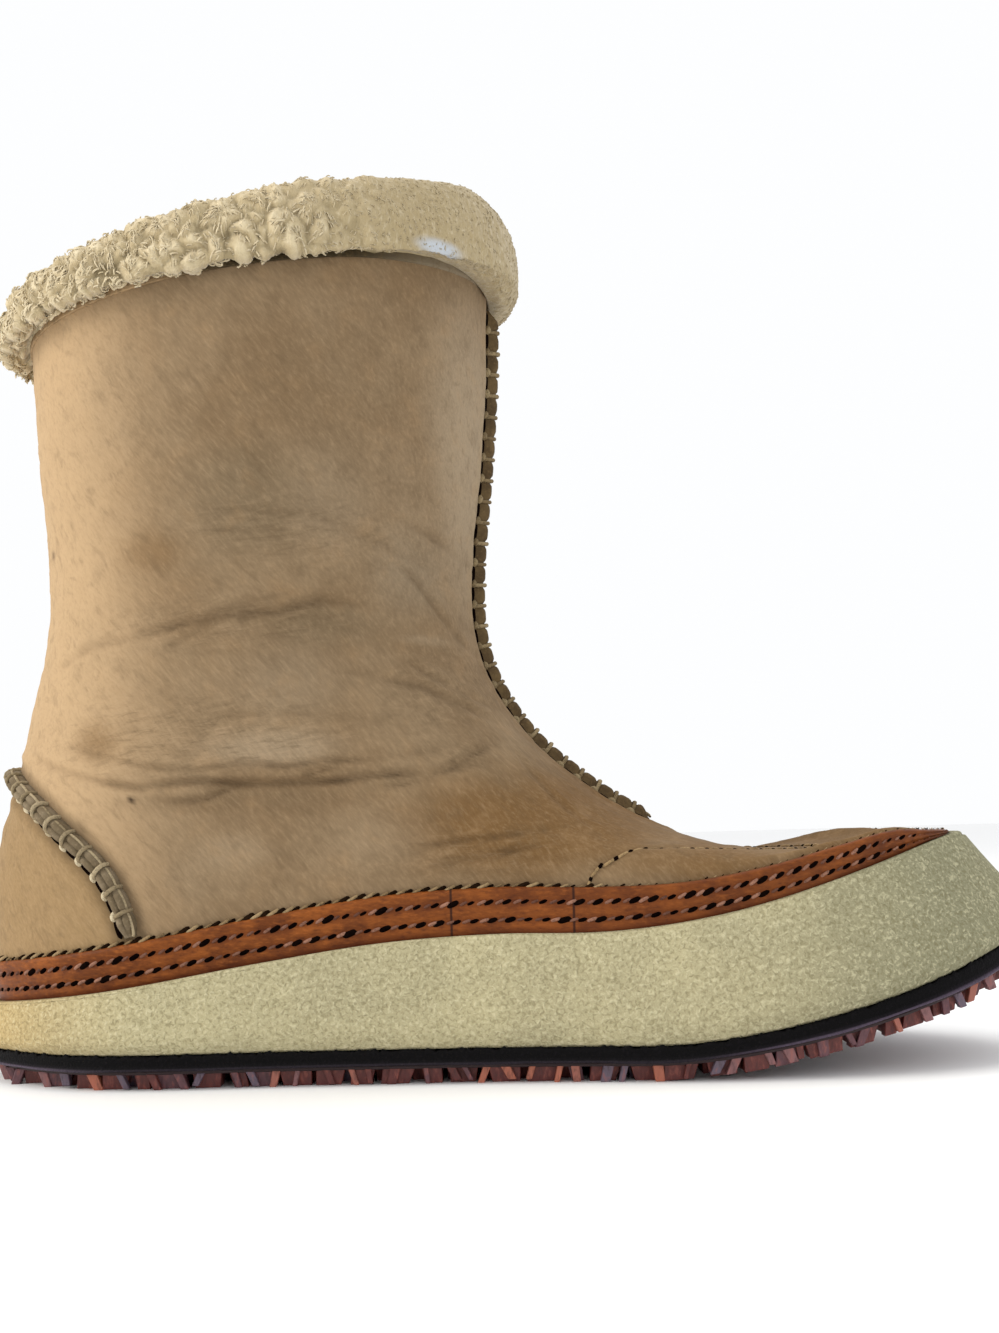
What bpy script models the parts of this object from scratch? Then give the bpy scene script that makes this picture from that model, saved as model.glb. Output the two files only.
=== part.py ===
"""Left mukluk boot: a sheepskin upper on a thick rocker sole, as the separate pieces a maker puts together.

Metres, +X to the toe, +Z up, -Y the inner side of the foot. The boot stands on z = 0, under the middle of
its box. Every piece that touches the upper is read from the upper's own surface, so it follows when a size
changes.
"""

import math
import random
from collections import namedtuple

import bmesh
import bpy
import numpy as np

# Main sizes
SOLE_LENGTH = 0.284
SOLE_WIDTH = 0.104  # across the ball
COLLAR_WIDTH = 0.100
COLLAR_BACK_HEIGHT = 0.1935
COLLAR_FRONT_HEIGHT = 0.2093
GAP = 0.0003  # between pieces that meet

# Sole sizes
LUG_HEIGHT = 0.0038
TREAD_SHEET = 0.0010  # the sheet that carries the lugs
OUTSOLE_THICKNESS = 0.0036
OUTSOLE_TOE_THICKNESS = 0.0058
FLOOR_THICKNESS = 0.0085  # midsole under the foot
RIM_HEIGHT = 0.0590  # top of the midsole at the toe
TOE_SPRING = 0.0257
SPRING_START = 0.125  # where it starts, as a share of the sole's length past its middle
SPRING_CURVE = 1.7  # power of its rise: 1 is a straight ramp, 2 a parabola
BOTTOM_TUCK = 0.0020  # how far the midsole's foot stands in from its widest line
SIDE_TUCK = 0.0014  # how far its rim stands in along the sides
TOE_TUCK = 0.0182  # and at the rounded toe bumper
SIDE_WIDEST = 0.24  # height of the midsole's widest line at the sides, as a share of the wall's height
TOE_WIDEST = 0.05
SIDE_BEND = 1.5  # power of the wall's lean above its widest line: 1 is straight, more is rounder
TOE_BEND = 1.2
BUMPER_START = 0.60  # where the toe bumper starts, as a share of the sole's length from the heel
BUMPER_CURVE = 1.6
RIM_EDGE = 0.0010  # rounding of the rim
OUTSOLE_LEDGE = 0.0008  # how far the outsole stands out under the midsole
OUTSOLE_STEP = 0.33  # height at which it has its full width, as a share of its thickness
TREAD_INSET = 0.0016

# Lug pattern
LUG_ROWS = 30
LUGS_ACROSS = 3
LUG_GROOVE = 0.0014  # half the groove's width
LUG_DRAFT = 0.0009
LUG_CHEVRON = 0.0045  # how far each row's middle runs ahead of its ends
CHEVRON_RUN = 0.17  # share of the tread at either end over which the rows turn straight
TREAD_BLUNT = 0.008  # share of the tread at either end that is cut off straight

# Upper sizes
WALL = 0.0026
FEATHER_TUCK = 0.0030  # how far the upper's lower edge curls in under the foot
RAND_THICKNESS = 0.0018
RAND_WIDTH = 0.0115  # what shows above the rim at the arch
RAND_TUCK = 0.0088  # how deep it sinks behind the toe bumper
INSOLE_THICKNESS = 0.0042
INSOLE_CLEARANCE = 0.0006

# Raised seams
SEAM_HEIGHT = 0.0034
SEAM_WIDTH = 0.0040
SEAM_TOP_WIDTH = 0.0026
SEAM_SHOULDER = 0.8  # height of its shoulders, as a share of SEAM_HEIGHT
SEAM_SEAT = 0.0005  # under a seam's flat foot, which bridges the upper's faces
SEAM_CLEARANCE = 0.0012  # between the front seam's top and the fleece

# Fleece collar
FLEECE_OUT = 0.0080  # roll outside the leather at the back and the front
FLEECE_SIDE_OUT = 0.0036  # and at the sides
FLEECE_IN = 0.0095  # roll inside the leather
FLEECE_BACK_RISE = 0.0112
FLEECE_FRONT_RISE = 0.0208
FLEECE_DROP = 0.0030  # how far it hangs over the edge at the back and the front
FLEECE_SIDE_DROP = 0.0005
FLEECE_LINING_DROP = 0.0130
FLEECE_LINING_REACH = 0.0076
LOCK_HEIGHT = 0.0022
SHORTEST_LOCK = 0.45  # as a share of LOCK_HEIGHT
LOCK_LEAN = 0.0011
LOCK_COLUMNS = 54

COLUMNS = 48  # around the foot, shared by all the pieces that meet there
SAMPLES = 300  # at which a surface or outline is read where its inverse is needed

# Outline of the sole at equal turns from the heel's back, by the outer side to the toe and back by the inner
# side. Columns: share of the sole's length from the heel, share of half its width towards the outer side.
OUTLINE = (
    (0.000, 0.00),
    (0.036, 0.41),
    (0.140, 0.76),
    (0.310, 0.84),
    (0.500, 0.93),
    (0.680, 1.00),
    (0.840, 0.87),
    (0.956, 0.50),
    (1.000, -0.09),
    (0.965, -0.58),
    (0.860, -0.92),
    (0.700, -1.00),
    (0.510, -0.86),
    (0.320, -0.79),
    (0.140, -0.75),
    (0.036, -0.41),
)

# Heights along the sole. Columns: share of the sole's length from the heel, rim as a share of RIM_HEIGHT,
# rand above the rim as a share of RAND_WIDTH, rand below the rim as a share of RAND_TUCK.
Profile = namedtuple("Profile", "station rim rand tuck")
PROFILES = (
    Profile(0.00, 0.342, 0.90, 0.12),
    Profile(0.16, 0.431, 0.94, 0.12),
    Profile(0.28, 0.524, 0.98, 0.12),
    Profile(0.40, 0.603, 1.00, 0.12),
    Profile(0.50, 0.628, 0.99, 0.12),
    Profile(0.59, 0.626, 0.95, 0.12),
    Profile(0.66, 0.661, 0.83, 0.12),
    Profile(0.73, 0.729, 0.76, 0.12),
    Profile(0.80, 0.830, 0.67, 0.17),
    Profile(0.85, 0.906, 0.54, 0.35),
    Profile(0.89, 0.965, 0.22, 0.74),
    Profile(0.92, 0.993, 0.06, 0.96),
    Profile(1.00, 1.000, 0.05, 1.00),
)

# Rings of the upper from the rand's top edge to the collar. Columns: place of the ring's back and front as
# shares of the sole's length from the heel, their heights as shares of the way from the rand to the collar,
# half width as a share of the sole's and collar's, roundness from the sole's outline (0) to an oval (1), and
# how much of the rand's wave it keeps.
Ring = namedtuple("Ring", "back_x back_z front_x front_z width round wave")
RINGS = (
    Ring(0.0160, 0.0000, 0.9165, 0.0000, 0.869, 0.00, 1.00),
    Ring(0.0140, 0.0750, 0.9050, -0.0010, 0.860, 0.00, 0.94),
    Ring(0.0138, 0.1250, 0.8760, -0.0130, 0.843, 0.00, 0.55),
    Ring(0.0170, 0.1750, 0.8200, -0.0190, 0.824, 0.04, 0.28),
    Ring(0.0230, 0.2250, 0.7550, -0.0180, 0.806, 0.11, 0.12),
    Ring(0.0350, 0.2750, 0.7020, -0.0060, 0.792, 0.21, 0.05),
    Ring(0.0440, 0.3250, 0.6500, 0.0230, 0.790, 0.33, 0.00),
    Ring(0.0500, 0.3700, 0.6080, 0.0650, 0.792, 0.46, 0.00),
    Ring(0.0560, 0.4125, 0.5720, 0.1140, 0.796, 0.59, 0.00),
    Ring(0.0625, 0.4500, 0.5385, 0.1700, 0.800, 0.71, 0.00),
    Ring(0.0685, 0.4875, 0.5130, 0.2310, 0.806, 0.82, 0.00),
    Ring(0.0735, 0.5300, 0.4930, 0.3020, 0.817, 0.91, 0.00),
    Ring(0.0770, 0.5750, 0.4825, 0.3710, 0.842, 0.96, 0.00),
    Ring(0.0775, 0.6400, 0.4800, 0.4460, 0.878, 1.00, 0.00),
    Ring(0.0760, 0.7150, 0.4830, 0.5410, 0.918, 1.00, 0.00),
    Ring(0.0725, 0.8000, 0.4900, 0.6560, 0.957, 1.00, 0.00),
    Ring(0.0695, 0.8900, 0.4975, 0.8126, 0.985, 1.00, 0.00),
    Ring(0.0680, 1.0000, 0.5020, 1.0000, 1.000, 1.00, 0.00),
)
# The level of the last ring; the rand's top edge is level 1, the upper's lower edge level 0
COLLAR = float(len(RINGS))

# The levels at which the upper's faces are cut: close where it bends, wider up the shaft
FOOT_LEVELS = (0.0, 0.5, 1.0, 1.5, 2.0, 2.6, 3.2, 3.9, 4.6, 5.3, 6.0, 6.8, 7.6, 8.4, 9.2, 10.0, 10.8)
SHAFT_LEVELS = (11.6, 12.4, 13.3, 14.3, 15.3, 16.3, 17.2, COLLAR)
LEVELS = FOOT_LEVELS + SHAFT_LEVELS

# The counter's seam on one side, from the heel's back down to the rand. Columns: turn from the heel's back,
# height above the rand as a share of the way from there to the collar's back.
COUNTER_SEAM = (
    (0.000, 0.305),
    (0.037, 0.295),
    (0.068, 0.266),
    (0.096, 0.226),
    (0.114, 0.186),
    (0.125, 0.150),
    (0.132, 0.112),
    (0.135, 0.074),
    (0.137, 0.037),
    (0.138, 0.013),
)
COUNTER_SEAM_RINGS = 37
FRONT_SEAM_END = 7.15  # the level on the instep where the front seam runs out

# Heights of the rings in the midsole's outer wall, as shares of the way from its foot to its rim
SOLE_WALL_HEIGHTS = (0.0, 0.14, 0.32, 0.55, 0.76, 0.92)

# Section of the fleece collar, from its outer foot over the top and down to the lining. Columns: reach as
# a share of the roll outside the leather or, below 0, inside it, and rise as a share of the rise or, below
# 0, of the drop.
Fleece = namedtuple("Fleece", "reach rise")
FLEECE_SECTION = (
    Fleece(0.04, -0.90),
    Fleece(0.60, -1.00),
    Fleece(0.97, -0.25),
    Fleece(1.00, 0.24),
    Fleece(0.88, 0.56),
    Fleece(0.56, 0.84),
    Fleece(0.10, 1.00),
    Fleece(-0.45, 0.95),
    Fleece(-0.85, 0.68),
    Fleece(-1.00, 0.24),
)


def read_table(knots, values, at):
    """Smooth curve through a table's rows, read at one or many places."""
    knots = np.asarray(knots, float)
    values = np.asarray(values, float)
    at = np.clip(np.asarray(at, float), knots[0], knots[-1])
    slopes = np.gradient(values, knots)
    row = np.clip(np.searchsorted(knots, at, side="right") - 1, 0, len(knots) - 2)
    step = knots[row + 1] - knots[row]
    t = (at - knots[row]) / step
    start = values[row] * (1 + 2 * t) * (1 - t) ** 2 + slopes[row] * step * t * (1 - t) ** 2
    end = values[row + 1] * t * t * (3 - 2 * t) + slopes[row + 1] * step * t * t * (t - 1)
    return start + end


def outline(u):
    """Share along and share across of the sole's outline at turn u: 0 at the heel's back, 0.5 at the toe."""
    count = len(OUTLINE)
    margin = 3
    knots = np.arange(-margin, count + margin + 1) / count
    points = np.array([OUTLINE[i % count] for i in range(-margin, count + margin + 1)])
    turn = np.asarray(u, float) % 1.0
    return read_table(knots, points[:, 0], turn), read_table(knots, points[:, 1], turn)


def profile(column, x):
    """A column of PROFILES at a place along the sole."""
    stations = [row.station for row in PROFILES]
    values = [getattr(row, column) for row in PROFILES]
    return read_table(stations, values, np.asarray(x, float) / SOLE_LENGTH + 0.5)


def toe_lift(x):
    """How far the toe spring lifts the sole at x."""
    start = SPRING_START * SOLE_LENGTH
    reach = np.clip((np.asarray(x, float) - start) / (SOLE_LENGTH / 2 - start), 0, 1)
    return TOE_SPRING * reach**SPRING_CURVE


def outsole_bottom(x):
    return LUG_HEIGHT + TREAD_SHEET + GAP + toe_lift(x)


def midsole_bottom(x):
    gain = (OUTSOLE_TOE_THICKNESS - OUTSOLE_THICKNESS) * toe_lift(x) / TOE_SPRING
    return outsole_bottom(x) + OUTSOLE_THICKNESS + gain + GAP


def foot_floor(x):
    return midsole_bottom(x) + FLOOR_THICKNESS


def rim(x):
    return RIM_HEIGHT * profile("rim", x)


def rand_top(x):
    return rim(x) + RAND_WIDTH * profile("rand", x)


def rand_seat(x):
    return rim(x) - RAND_TUCK * profile("tuck", x)


def upper_surface(u, v):
    """Points of the upper's outer face, at turn u and level v."""
    u, v = np.broadcast_arrays(np.asarray(u, float), np.asarray(v, float))
    levels = np.arange(1, len(RINGS) + 1)
    level = np.clip(v, 1, None)
    ring = Ring(*(read_table(levels, [getattr(r, f) for r in RINGS], level) for f in Ring._fields))
    along, across = outline(u)
    along = along + ((1 - np.cos(2 * math.pi * u)) / 2 - along) * ring.round
    across = across + (np.sin(2 * math.pi * u) - across) * ring.round

    low = np.clip(1 - v, 0, 1)
    heel = -SOLE_LENGTH / 2
    length = SOLE_LENGTH * (ring.front_x - ring.back_x)
    half = ring.width * (SOLE_WIDTH * (1 - ring.round) + COLLAR_WIDTH * ring.round) / 2
    x = heel + SOLE_LENGTH * ring.back_x + along * length
    x = x + (0.5 - along) * 2 * FEATHER_TUCK * low
    y = across * (half - FEATHER_TUCK * low)

    heel_top = rand_top(heel + SOLE_LENGTH * RINGS[0].back_x)
    toe_top = rand_top(heel + SOLE_LENGTH * RINGS[0].front_x)
    back = heel_top + ring.back_z * (COLLAR_BACK_HEIGHT - heel_top)
    front = toe_top + ring.front_z * (COLLAR_FRONT_HEIGHT - toe_top)
    wave = rand_top(x) - (heel_top + along * (toe_top - heel_top))
    z = back + along * (front - back) + ring.wave * wave
    bottom = foot_floor(x) + GAP
    z = np.where(low > 0, bottom + (rand_top(x) - bottom) * (1 - low), z)
    return np.stack([x, y, z], axis=-1)


def upper_face(u, v):
    """A point of the upper's real, flat faces, at turn u and level v."""
    column = math.floor(u * COLUMNS)
    row = min(max(int(np.searchsorted(LEVELS, v, side="right")) - 1, 0), len(LEVELS) - 2)
    across = u * COLUMNS - column
    up = (v - LEVELS[row]) / (LEVELS[row + 1] - LEVELS[row])
    lower, higher = (
        upper_surface(column / COLUMNS, LEVELS[r]) * (1 - across)
        + upper_surface((column + 1) / COLUMNS, LEVELS[r]) * across
        for r in (row, row + 1)
    )
    return lower * (1 - up) + higher * up


def unit(vectors):
    return vectors / np.linalg.norm(vectors, axis=-1, keepdims=True)


def upper_normal(u, v):
    """Outward direction of the upper's surface."""
    u, v = np.broadcast_arrays(np.asarray(u, float), np.asarray(v, float))
    turn, rise = 0.004, 0.04
    around = upper_surface(u + turn, v) - upper_surface(u - turn, v)
    up = upper_surface(u, np.minimum(v + rise, COLLAR)) - upper_surface(u, np.maximum(v - rise, 0))
    return unit(np.cross(up, around))


def beside_upper(u, v, distance, height=None):
    """Points level with the upper's surface at v, a distance outside it, at a set height if one is given."""
    turn = 0.004
    around = upper_surface(u + turn, v) - upper_surface(u - turn, v)
    out = np.stack([-around[..., 1], around[..., 0], np.zeros(around.shape[:-1])], axis=-1)
    points = upper_surface(u, v) + distance * unit(out)
    if height is not None:
        points[..., 2] = height(points[..., 0])
    return points


def level_of(u, height):
    """The level below the rand's top edge at which the upper's wall reaches a height given along the sole."""
    x = upper_surface(u, 1.0)[..., 0]
    bottom = foot_floor(x) + GAP
    return np.clip((height(x) - bottom) / (rand_top(x) - bottom), 0, 1)


def level_above_rand(u, rise):
    """The level at which the upper stands a given rise above the rand's top, at turn u."""
    levels = np.linspace(1, COLLAR, SAMPLES)
    heights = upper_surface(u, levels)[:, 2]
    return float(np.interp(heights[0] + rise, heights, levels))


def sole_wall(u, height):
    """Points of the midsole's outer wall, from its foot (height 0) to its rim (height 1)."""
    turn = 0.002
    along, across = outline(u)
    ahead, behind = outline(np.asarray(u) + turn), outline(np.asarray(u) - turn)
    step_along, step_across = (ahead[0] - behind[0]) * SOLE_LENGTH, (ahead[1] - behind[1]) * SOLE_WIDTH / 2
    inward = unit(np.stack([step_across, -step_along], axis=-1))
    toe = np.clip((along - BUMPER_START) / (1 - BUMPER_START), 0, 1)
    rim_tuck = SIDE_TUCK + (TOE_TUCK - SIDE_TUCK) * toe**BUMPER_CURVE
    widest = SIDE_WIDEST + (TOE_WIDEST - SIDE_WIDEST) * toe
    bend = SIDE_BEND + (TOE_BEND - SIDE_BEND) * toe
    below = np.clip(1 - height / widest, 0, 1)
    above = np.clip((height - widest) / (1 - widest), 0, 1)
    tuck = BOTTOM_TUCK * below**2 + rim_tuck * above**bend
    x = SOLE_LENGTH * (along - 0.5) + inward[..., 0] * tuck
    y = SOLE_WIDTH / 2 * across + inward[..., 1] * tuck
    z = midsole_bottom(x) + height * (rim(x) - midsole_bottom(x))
    return np.stack([x, y, z], axis=-1)


def pushed(ring, distance, height):
    """A closed ring of points moved sideways, outwards if positive, and set to a height along the sole."""
    around = np.roll(ring, -1, axis=0) - np.roll(ring, 1, axis=0)
    out = unit(np.stack([-around[:, 1], around[:, 0], np.zeros(len(ring))], axis=-1))
    moved = ring + distance * out
    moved[:, 2] = height(moved[:, 0])
    return moved


def turns(count):
    return np.arange(count) / count


def add_material(obj, colour, roughness):
    material = bpy.data.materials.new(obj.name)
    material.use_nodes = True
    shader = material.node_tree.nodes["Principled BSDF"]
    shader.inputs["Base Color"].default_value = (*colour, 1.0)
    shader.inputs["Roughness"].default_value = roughness
    shader.inputs["Metallic"].default_value = 0.0
    obj.data.materials.append(material)


def finish(name, mesh, colour, roughness, sharp_degrees=40):
    bmesh.ops.recalc_face_normals(mesh, faces=mesh.faces)
    data = bpy.data.meshes.new(name)
    mesh.to_mesh(data)
    mesh.free()
    data.shade_smooth()
    data.set_sharp_from_angle(angle=math.radians(sharp_degrees))
    obj = bpy.data.objects.new(name, data)
    bpy.context.scene.collection.objects.link(obj)
    add_material(obj, colour, roughness)
    return obj


def add_rings(mesh, rings):
    """Adds each ring's points and joins each ring to the next with a band of faces."""
    loops = [[mesh.verts.new(point) for point in ring] for ring in rings]
    for lower, higher in zip(loops, loops[1:]):
        join_loops(mesh, lower, higher)
    return loops


def join_loops(mesh, lower, higher):
    count = len(lower)
    for i in range(count):
        j = (i + 1) % count
        mesh.faces.new((lower[i], lower[j], higher[j], higher[i]))


def cap_across(mesh, loop):
    """Closes a loop with strips from its outer to its inner side, so the cap bends along the sole only."""
    count = len(loop)
    mesh.faces.new((loop[0], loop[1], loop[count - 1]))
    for i in range(1, count // 2 - 1):
        mesh.faces.new((loop[i], loop[i + 1], loop[count - i - 1], loop[count - i]))
    middle = count // 2
    mesh.faces.new((loop[middle - 1], loop[middle], loop[middle + 1]))


def build_upper():
    """The hollow upper: its outer face from the lower edge to the collar, and its inner face back down."""
    u = turns(COLUMNS)
    outer = [upper_surface(u, v) for v in LEVELS]
    inner = [upper_surface(u, v) - WALL * upper_normal(u, v) for v in LEVELS]
    inner[0] = beside_upper(u, 0.0, -WALL)
    mesh = bmesh.new()
    loops = add_rings(mesh, outer + inner[::-1])
    join_loops(mesh, loops[-1], loops[0])
    return finish("upper", mesh, (0.42, 0.29, 0.16), 0.9)


def build_rand():
    """The brown band sewn round the foot, between the upper and the midsole's lip."""
    u = turns(COLUMNS)
    seat = level_of(u, rand_seat)
    far = GAP + RAND_THICKNESS

    def bottom(x):
        return rand_seat(x) + GAP

    rings = [
        beside_upper(u, seat, GAP, bottom),
        beside_upper(u, seat, far, bottom),
        beside_upper(u, 1.0, far, rand_top),
        beside_upper(u, 1.0, GAP, rand_top),
    ]
    mesh = bmesh.new()
    loops = add_rings(mesh, rings)
    join_loops(mesh, loops[-1], loops[0])
    return finish("rand", mesh, (0.25, 0.085, 0.022), 0.6)


def build_midsole():
    """The thick cup: its outer wall, the rounded rim, the rand's seat and the hollow that takes the foot."""
    u = turns(COLUMNS)
    seat = level_of(u, rand_seat)
    far = 2 * GAP + RAND_THICKNESS
    wall = [sole_wall(u, height) for height in SOLE_WALL_HEIGHTS]

    def under_rim(x):
        return rim(x) - RIM_EDGE

    top = sole_wall(u, 1.0)
    rings = wall + [
        pushed(top, 0.0, under_rim),
        pushed(top, -RIM_EDGE, rim),
        beside_upper(u, level_of(u, rim), far, rim),
        beside_upper(u, seat, far, rand_seat),
        beside_upper(u, seat, GAP, rand_seat),
        beside_upper(u, 0.0, GAP, foot_floor),
    ]
    mesh = bmesh.new()
    loops = add_rings(mesh, rings)
    cap_across(mesh, loops[0])
    cap_across(mesh, loops[-1])
    return finish("midsole", mesh, (0.50, 0.47, 0.31), 0.95)


def build_outsole():
    """The black band and plate under the midsole."""
    foot = sole_wall(turns(COLUMNS), 0.0)

    def top(x):
        return midsole_bottom(x) - GAP

    def step(x):
        return outsole_bottom(x) + OUTSOLE_STEP * (top(x) - outsole_bottom(x))

    rings = [
        pushed(foot, 0.0, outsole_bottom),
        pushed(foot, OUTSOLE_LEDGE, step),
        pushed(foot, OUTSOLE_LEDGE, top),
    ]
    mesh = bmesh.new()
    loops = add_rings(mesh, rings)
    cap_across(mesh, loops[0])
    cap_across(mesh, loops[-1])
    return finish("outsole", mesh, (0.012, 0.011, 0.013), 0.45)


def sole_edges(inset):
    """Functions that give the outline's outer and inner side, in by the inset, at a place along the sole."""
    dense = pushed(sole_wall(turns(2 * SAMPLES), 0.0), -inset, outsole_bottom)
    half = len(dense) // 2
    outer, inner = dense[: half + 1], dense[half:]
    reach = (dense[:, 0].min(), dense[:, 0].max())

    def outer_side(x):
        return np.interp(x, outer[:, 0], outer[:, 1])

    def inner_side(x):
        return np.interp(x, inner[::-1, 0], inner[::-1, 1])

    return outer_side, inner_side, reach


def build_tread():
    """A thin sheet with a lug grown from each cell of its underside."""
    outer_side, inner_side, (heel_end, toe_end) = sole_edges(TREAD_INSET)
    length = toe_end - heel_end
    blunt = TREAD_BLUNT * length

    def corner(x, share, height):
        y = outer_side(x) + (inner_side(x) - outer_side(x)) * share
        room = min(x - heel_end, toe_end - x) / length
        ahead = LUG_CHEVRON * (1 - abs(2 * share - 1)) * min(1.0, room / CHEVRON_RUN)
        return x + ahead, y, height + float(toe_lift(x + ahead))

    mesh = bmesh.new()
    low, high = (
        [
            [mesh.verts.new(corner(x, k / LUGS_ACROSS, height)) for k in range(LUGS_ACROSS + 1)]
            for x in np.linspace(heel_end + blunt, toe_end - blunt, LUG_ROWS + 1)
        ]
        for height in (LUG_HEIGHT, LUG_HEIGHT + TREAD_SHEET)
    )
    cells = []
    for i in range(LUG_ROWS):
        for k in range(LUGS_ACROSS):
            cells.append(mesh.faces.new((low[i][k], low[i + 1][k], low[i + 1][k + 1], low[i][k + 1])))
            mesh.faces.new((high[i][k], high[i][k + 1], high[i + 1][k + 1], high[i + 1][k]))
        for k in (0, LUGS_ACROSS):
            mesh.faces.new((low[i][k], high[i][k], high[i + 1][k], low[i + 1][k]))
    for i in (0, LUG_ROWS):
        for k in range(LUGS_ACROSS):
            mesh.faces.new((low[i][k], low[i][k + 1], high[i][k + 1], high[i][k]))
    bmesh.ops.recalc_face_normals(mesh, faces=mesh.faces)
    bmesh.ops.inset_individual(mesh, faces=cells, thickness=LUG_GROOVE)
    bmesh.ops.inset_individual(mesh, faces=cells, thickness=LUG_DRAFT)
    for face in cells:
        for vert in face.verts:
            vert.co.z = float(toe_lift(vert.co.x))
    return finish("tread", mesh, (0.13, 0.035, 0.028), 0.5, sharp_degrees=25)


def build_insole():
    """The footbed that lies inside the upper on the midsole's floor."""
    u = turns(COLUMNS)

    def bottom(x):
        return foot_floor(x) + GAP

    def top(x):
        return bottom(x) + INSOLE_THICKNESS

    inset = -(WALL + INSOLE_CLEARANCE)
    lower, higher = (beside_upper(u, level_of(u, height), inset, height) for height in (bottom, top))
    mesh = bmesh.new()
    loops = add_rings(mesh, [pushed(lower, -INSOLE_CLEARANCE, bottom), higher])
    cap_across(mesh, loops[0])
    cap_across(mesh, loops[-1])
    return finish("insole", mesh, (0.55, 0.48, 0.34), 0.95)


def raised_seam(name, path):
    """A lip of leather edges that stands up along a path of turns and levels on the upper."""
    u, v = np.array(path).T
    centre = np.array([upper_face(*place) for place in path])
    out = upper_normal(u, v)
    run = unit(np.gradient(centre, axis=0))
    side = unit(np.cross(run, out))
    shoulder = SEAM_SEAT + SEAM_HEIGHT * SEAM_SHOULDER
    section = (
        (-SEAM_WIDTH / 2, SEAM_SEAT),
        (-SEAM_TOP_WIDTH / 2, shoulder),
        (0.0, SEAM_SEAT + SEAM_HEIGHT),
        (SEAM_TOP_WIDTH / 2, shoulder),
        (SEAM_WIDTH / 2, SEAM_SEAT),
    )
    mesh = bmesh.new()
    rings = [[centre[i] + across * side[i] + up * out[i] for across, up in section] for i in range(len(path))]
    loops = add_rings(mesh, rings)
    mesh.faces.new(loops[0])
    mesh.faces.new(loops[-1])
    return finish(name, mesh, (0.30, 0.21, 0.12), 0.85, sharp_degrees=60)


def build_front_seam():
    """The seam down the front, from just under the fleece to where it runs out on the instep."""
    levels = np.linspace(FRONT_SEAM_END, COLLAR, SAMPLES)
    below_collar = COLLAR_FRONT_HEIGHT - upper_surface(0.5, levels)[:, 2]
    top = np.interp(-(FLEECE_DROP + LOCK_HEIGHT + SEAM_CLEARANCE), -below_collar, levels)
    between = [v for v in LEVELS if FRONT_SEAM_END < v < top]
    return raised_seam("front_seam", [(0.5, v) for v in [FRONT_SEAM_END, *between, top]])


def build_heel_seam():
    """The seam of the heel counter, an arch over the heel's back that ends at the rand on both sides."""
    reach = COLLAR_BACK_HEIGHT - rand_top(-SOLE_LENGTH / 2)
    side = [(u, level_above_rand(u, rise * reach)) for u, rise in COUNTER_SEAM]
    inner = [(-u, level_above_rand(-u, rise * reach)) for u, rise in COUNTER_SEAM[:0:-1]]
    knots = np.array(inner + side)
    rows = np.arange(len(knots))
    at = np.linspace(0, len(knots) - 1, COUNTER_SEAM_RINGS)
    path = [(float(read_table(rows, knots[:, 0], t)), float(read_table(rows, knots[:, 1], t))) for t in at]
    return raised_seam("heel_seam", path)


def build_fleece():
    """The roll of fleece that sits over the collar's edge, with a lock grown from each cell of its skin."""
    u = turns(LOCK_COLUMNS)
    edge = upper_surface(u, COLLAR)
    out = upper_normal(u, COLLAR)
    up = unit(edge - upper_surface(u, LEVELS[-2]))
    ends = np.cos(2 * math.pi * u)[:, None] ** 2
    outside = FLEECE_SIDE_OUT + (FLEECE_OUT - FLEECE_SIDE_OUT) * ends
    drop = FLEECE_SIDE_DROP + (FLEECE_DROP - FLEECE_SIDE_DROP) * ends
    along = (1 - np.cos(2 * math.pi * u))[:, None] / 2
    height = FLEECE_BACK_RISE + (FLEECE_FRONT_RISE - FLEECE_BACK_RISE) * along
    inner_face = -(WALL + GAP)

    def at(reach, rise):
        return edge + reach * out + rise * up

    rings = []
    for spot in FLEECE_SECTION:
        reach = GAP + spot.reach * outside if spot.reach > 0 else inner_face * min(1, -2 * spot.reach)
        reach = reach + min(0, spot.reach) * FLEECE_IN
        rings.append(at(reach, spot.rise * (height if spot.rise > 0 else drop)))
    skin_rings = len(rings)
    lining = inner_face - FLEECE_LINING_REACH
    rings += [at(lining, -FLEECE_LINING_DROP), at(inner_face, -FLEECE_LINING_DROP)]
    rings += [at(inner_face, GAP), at(GAP, GAP)]
    mesh = bmesh.new()
    loops = add_rings(mesh, rings)
    join_loops(mesh, loops[-1], loops[0])
    bmesh.ops.recalc_face_normals(mesh, faces=mesh.faces)
    mesh.faces.ensure_lookup_table()
    skin = mesh.faces[LOCK_COLUMNS : LOCK_COLUMNS * (skin_rings - 1)]
    grow_locks(mesh, skin)
    return finish("collar_fleece", mesh, (0.60, 0.54, 0.38), 1.0, sharp_degrees=180)


def grow_locks(mesh, skin):
    """Raises each face of the skin to a leaning point, so that it stands up as one lock of the fleece."""
    lengths = random.Random(11)
    for face in skin:
        normal = face.normal.copy()
        side = normal.orthogonal().normalized()
        lean = side * lengths.uniform(-1, 1) + side.cross(normal) * lengths.uniform(-1, 1)
        tip = bmesh.ops.poke(mesh, faces=[face])["verts"][0]
        tip.co += normal * LOCK_HEIGHT * lengths.uniform(SHORTEST_LOCK, 1.0) + lean * LOCK_LEAN


def main():
    for obj in list(bpy.data.objects):
        bpy.data.objects.remove(obj)
    build_upper()
    build_rand()
    build_midsole()
    build_outsole()
    build_tread()
    build_insole()
    build_front_seam()
    build_heel_seam()
    build_fleece()


main()
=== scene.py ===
import math
import random

import bmesh
import bpy
import numpy as np
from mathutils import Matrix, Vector, kdtree, noise


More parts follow.
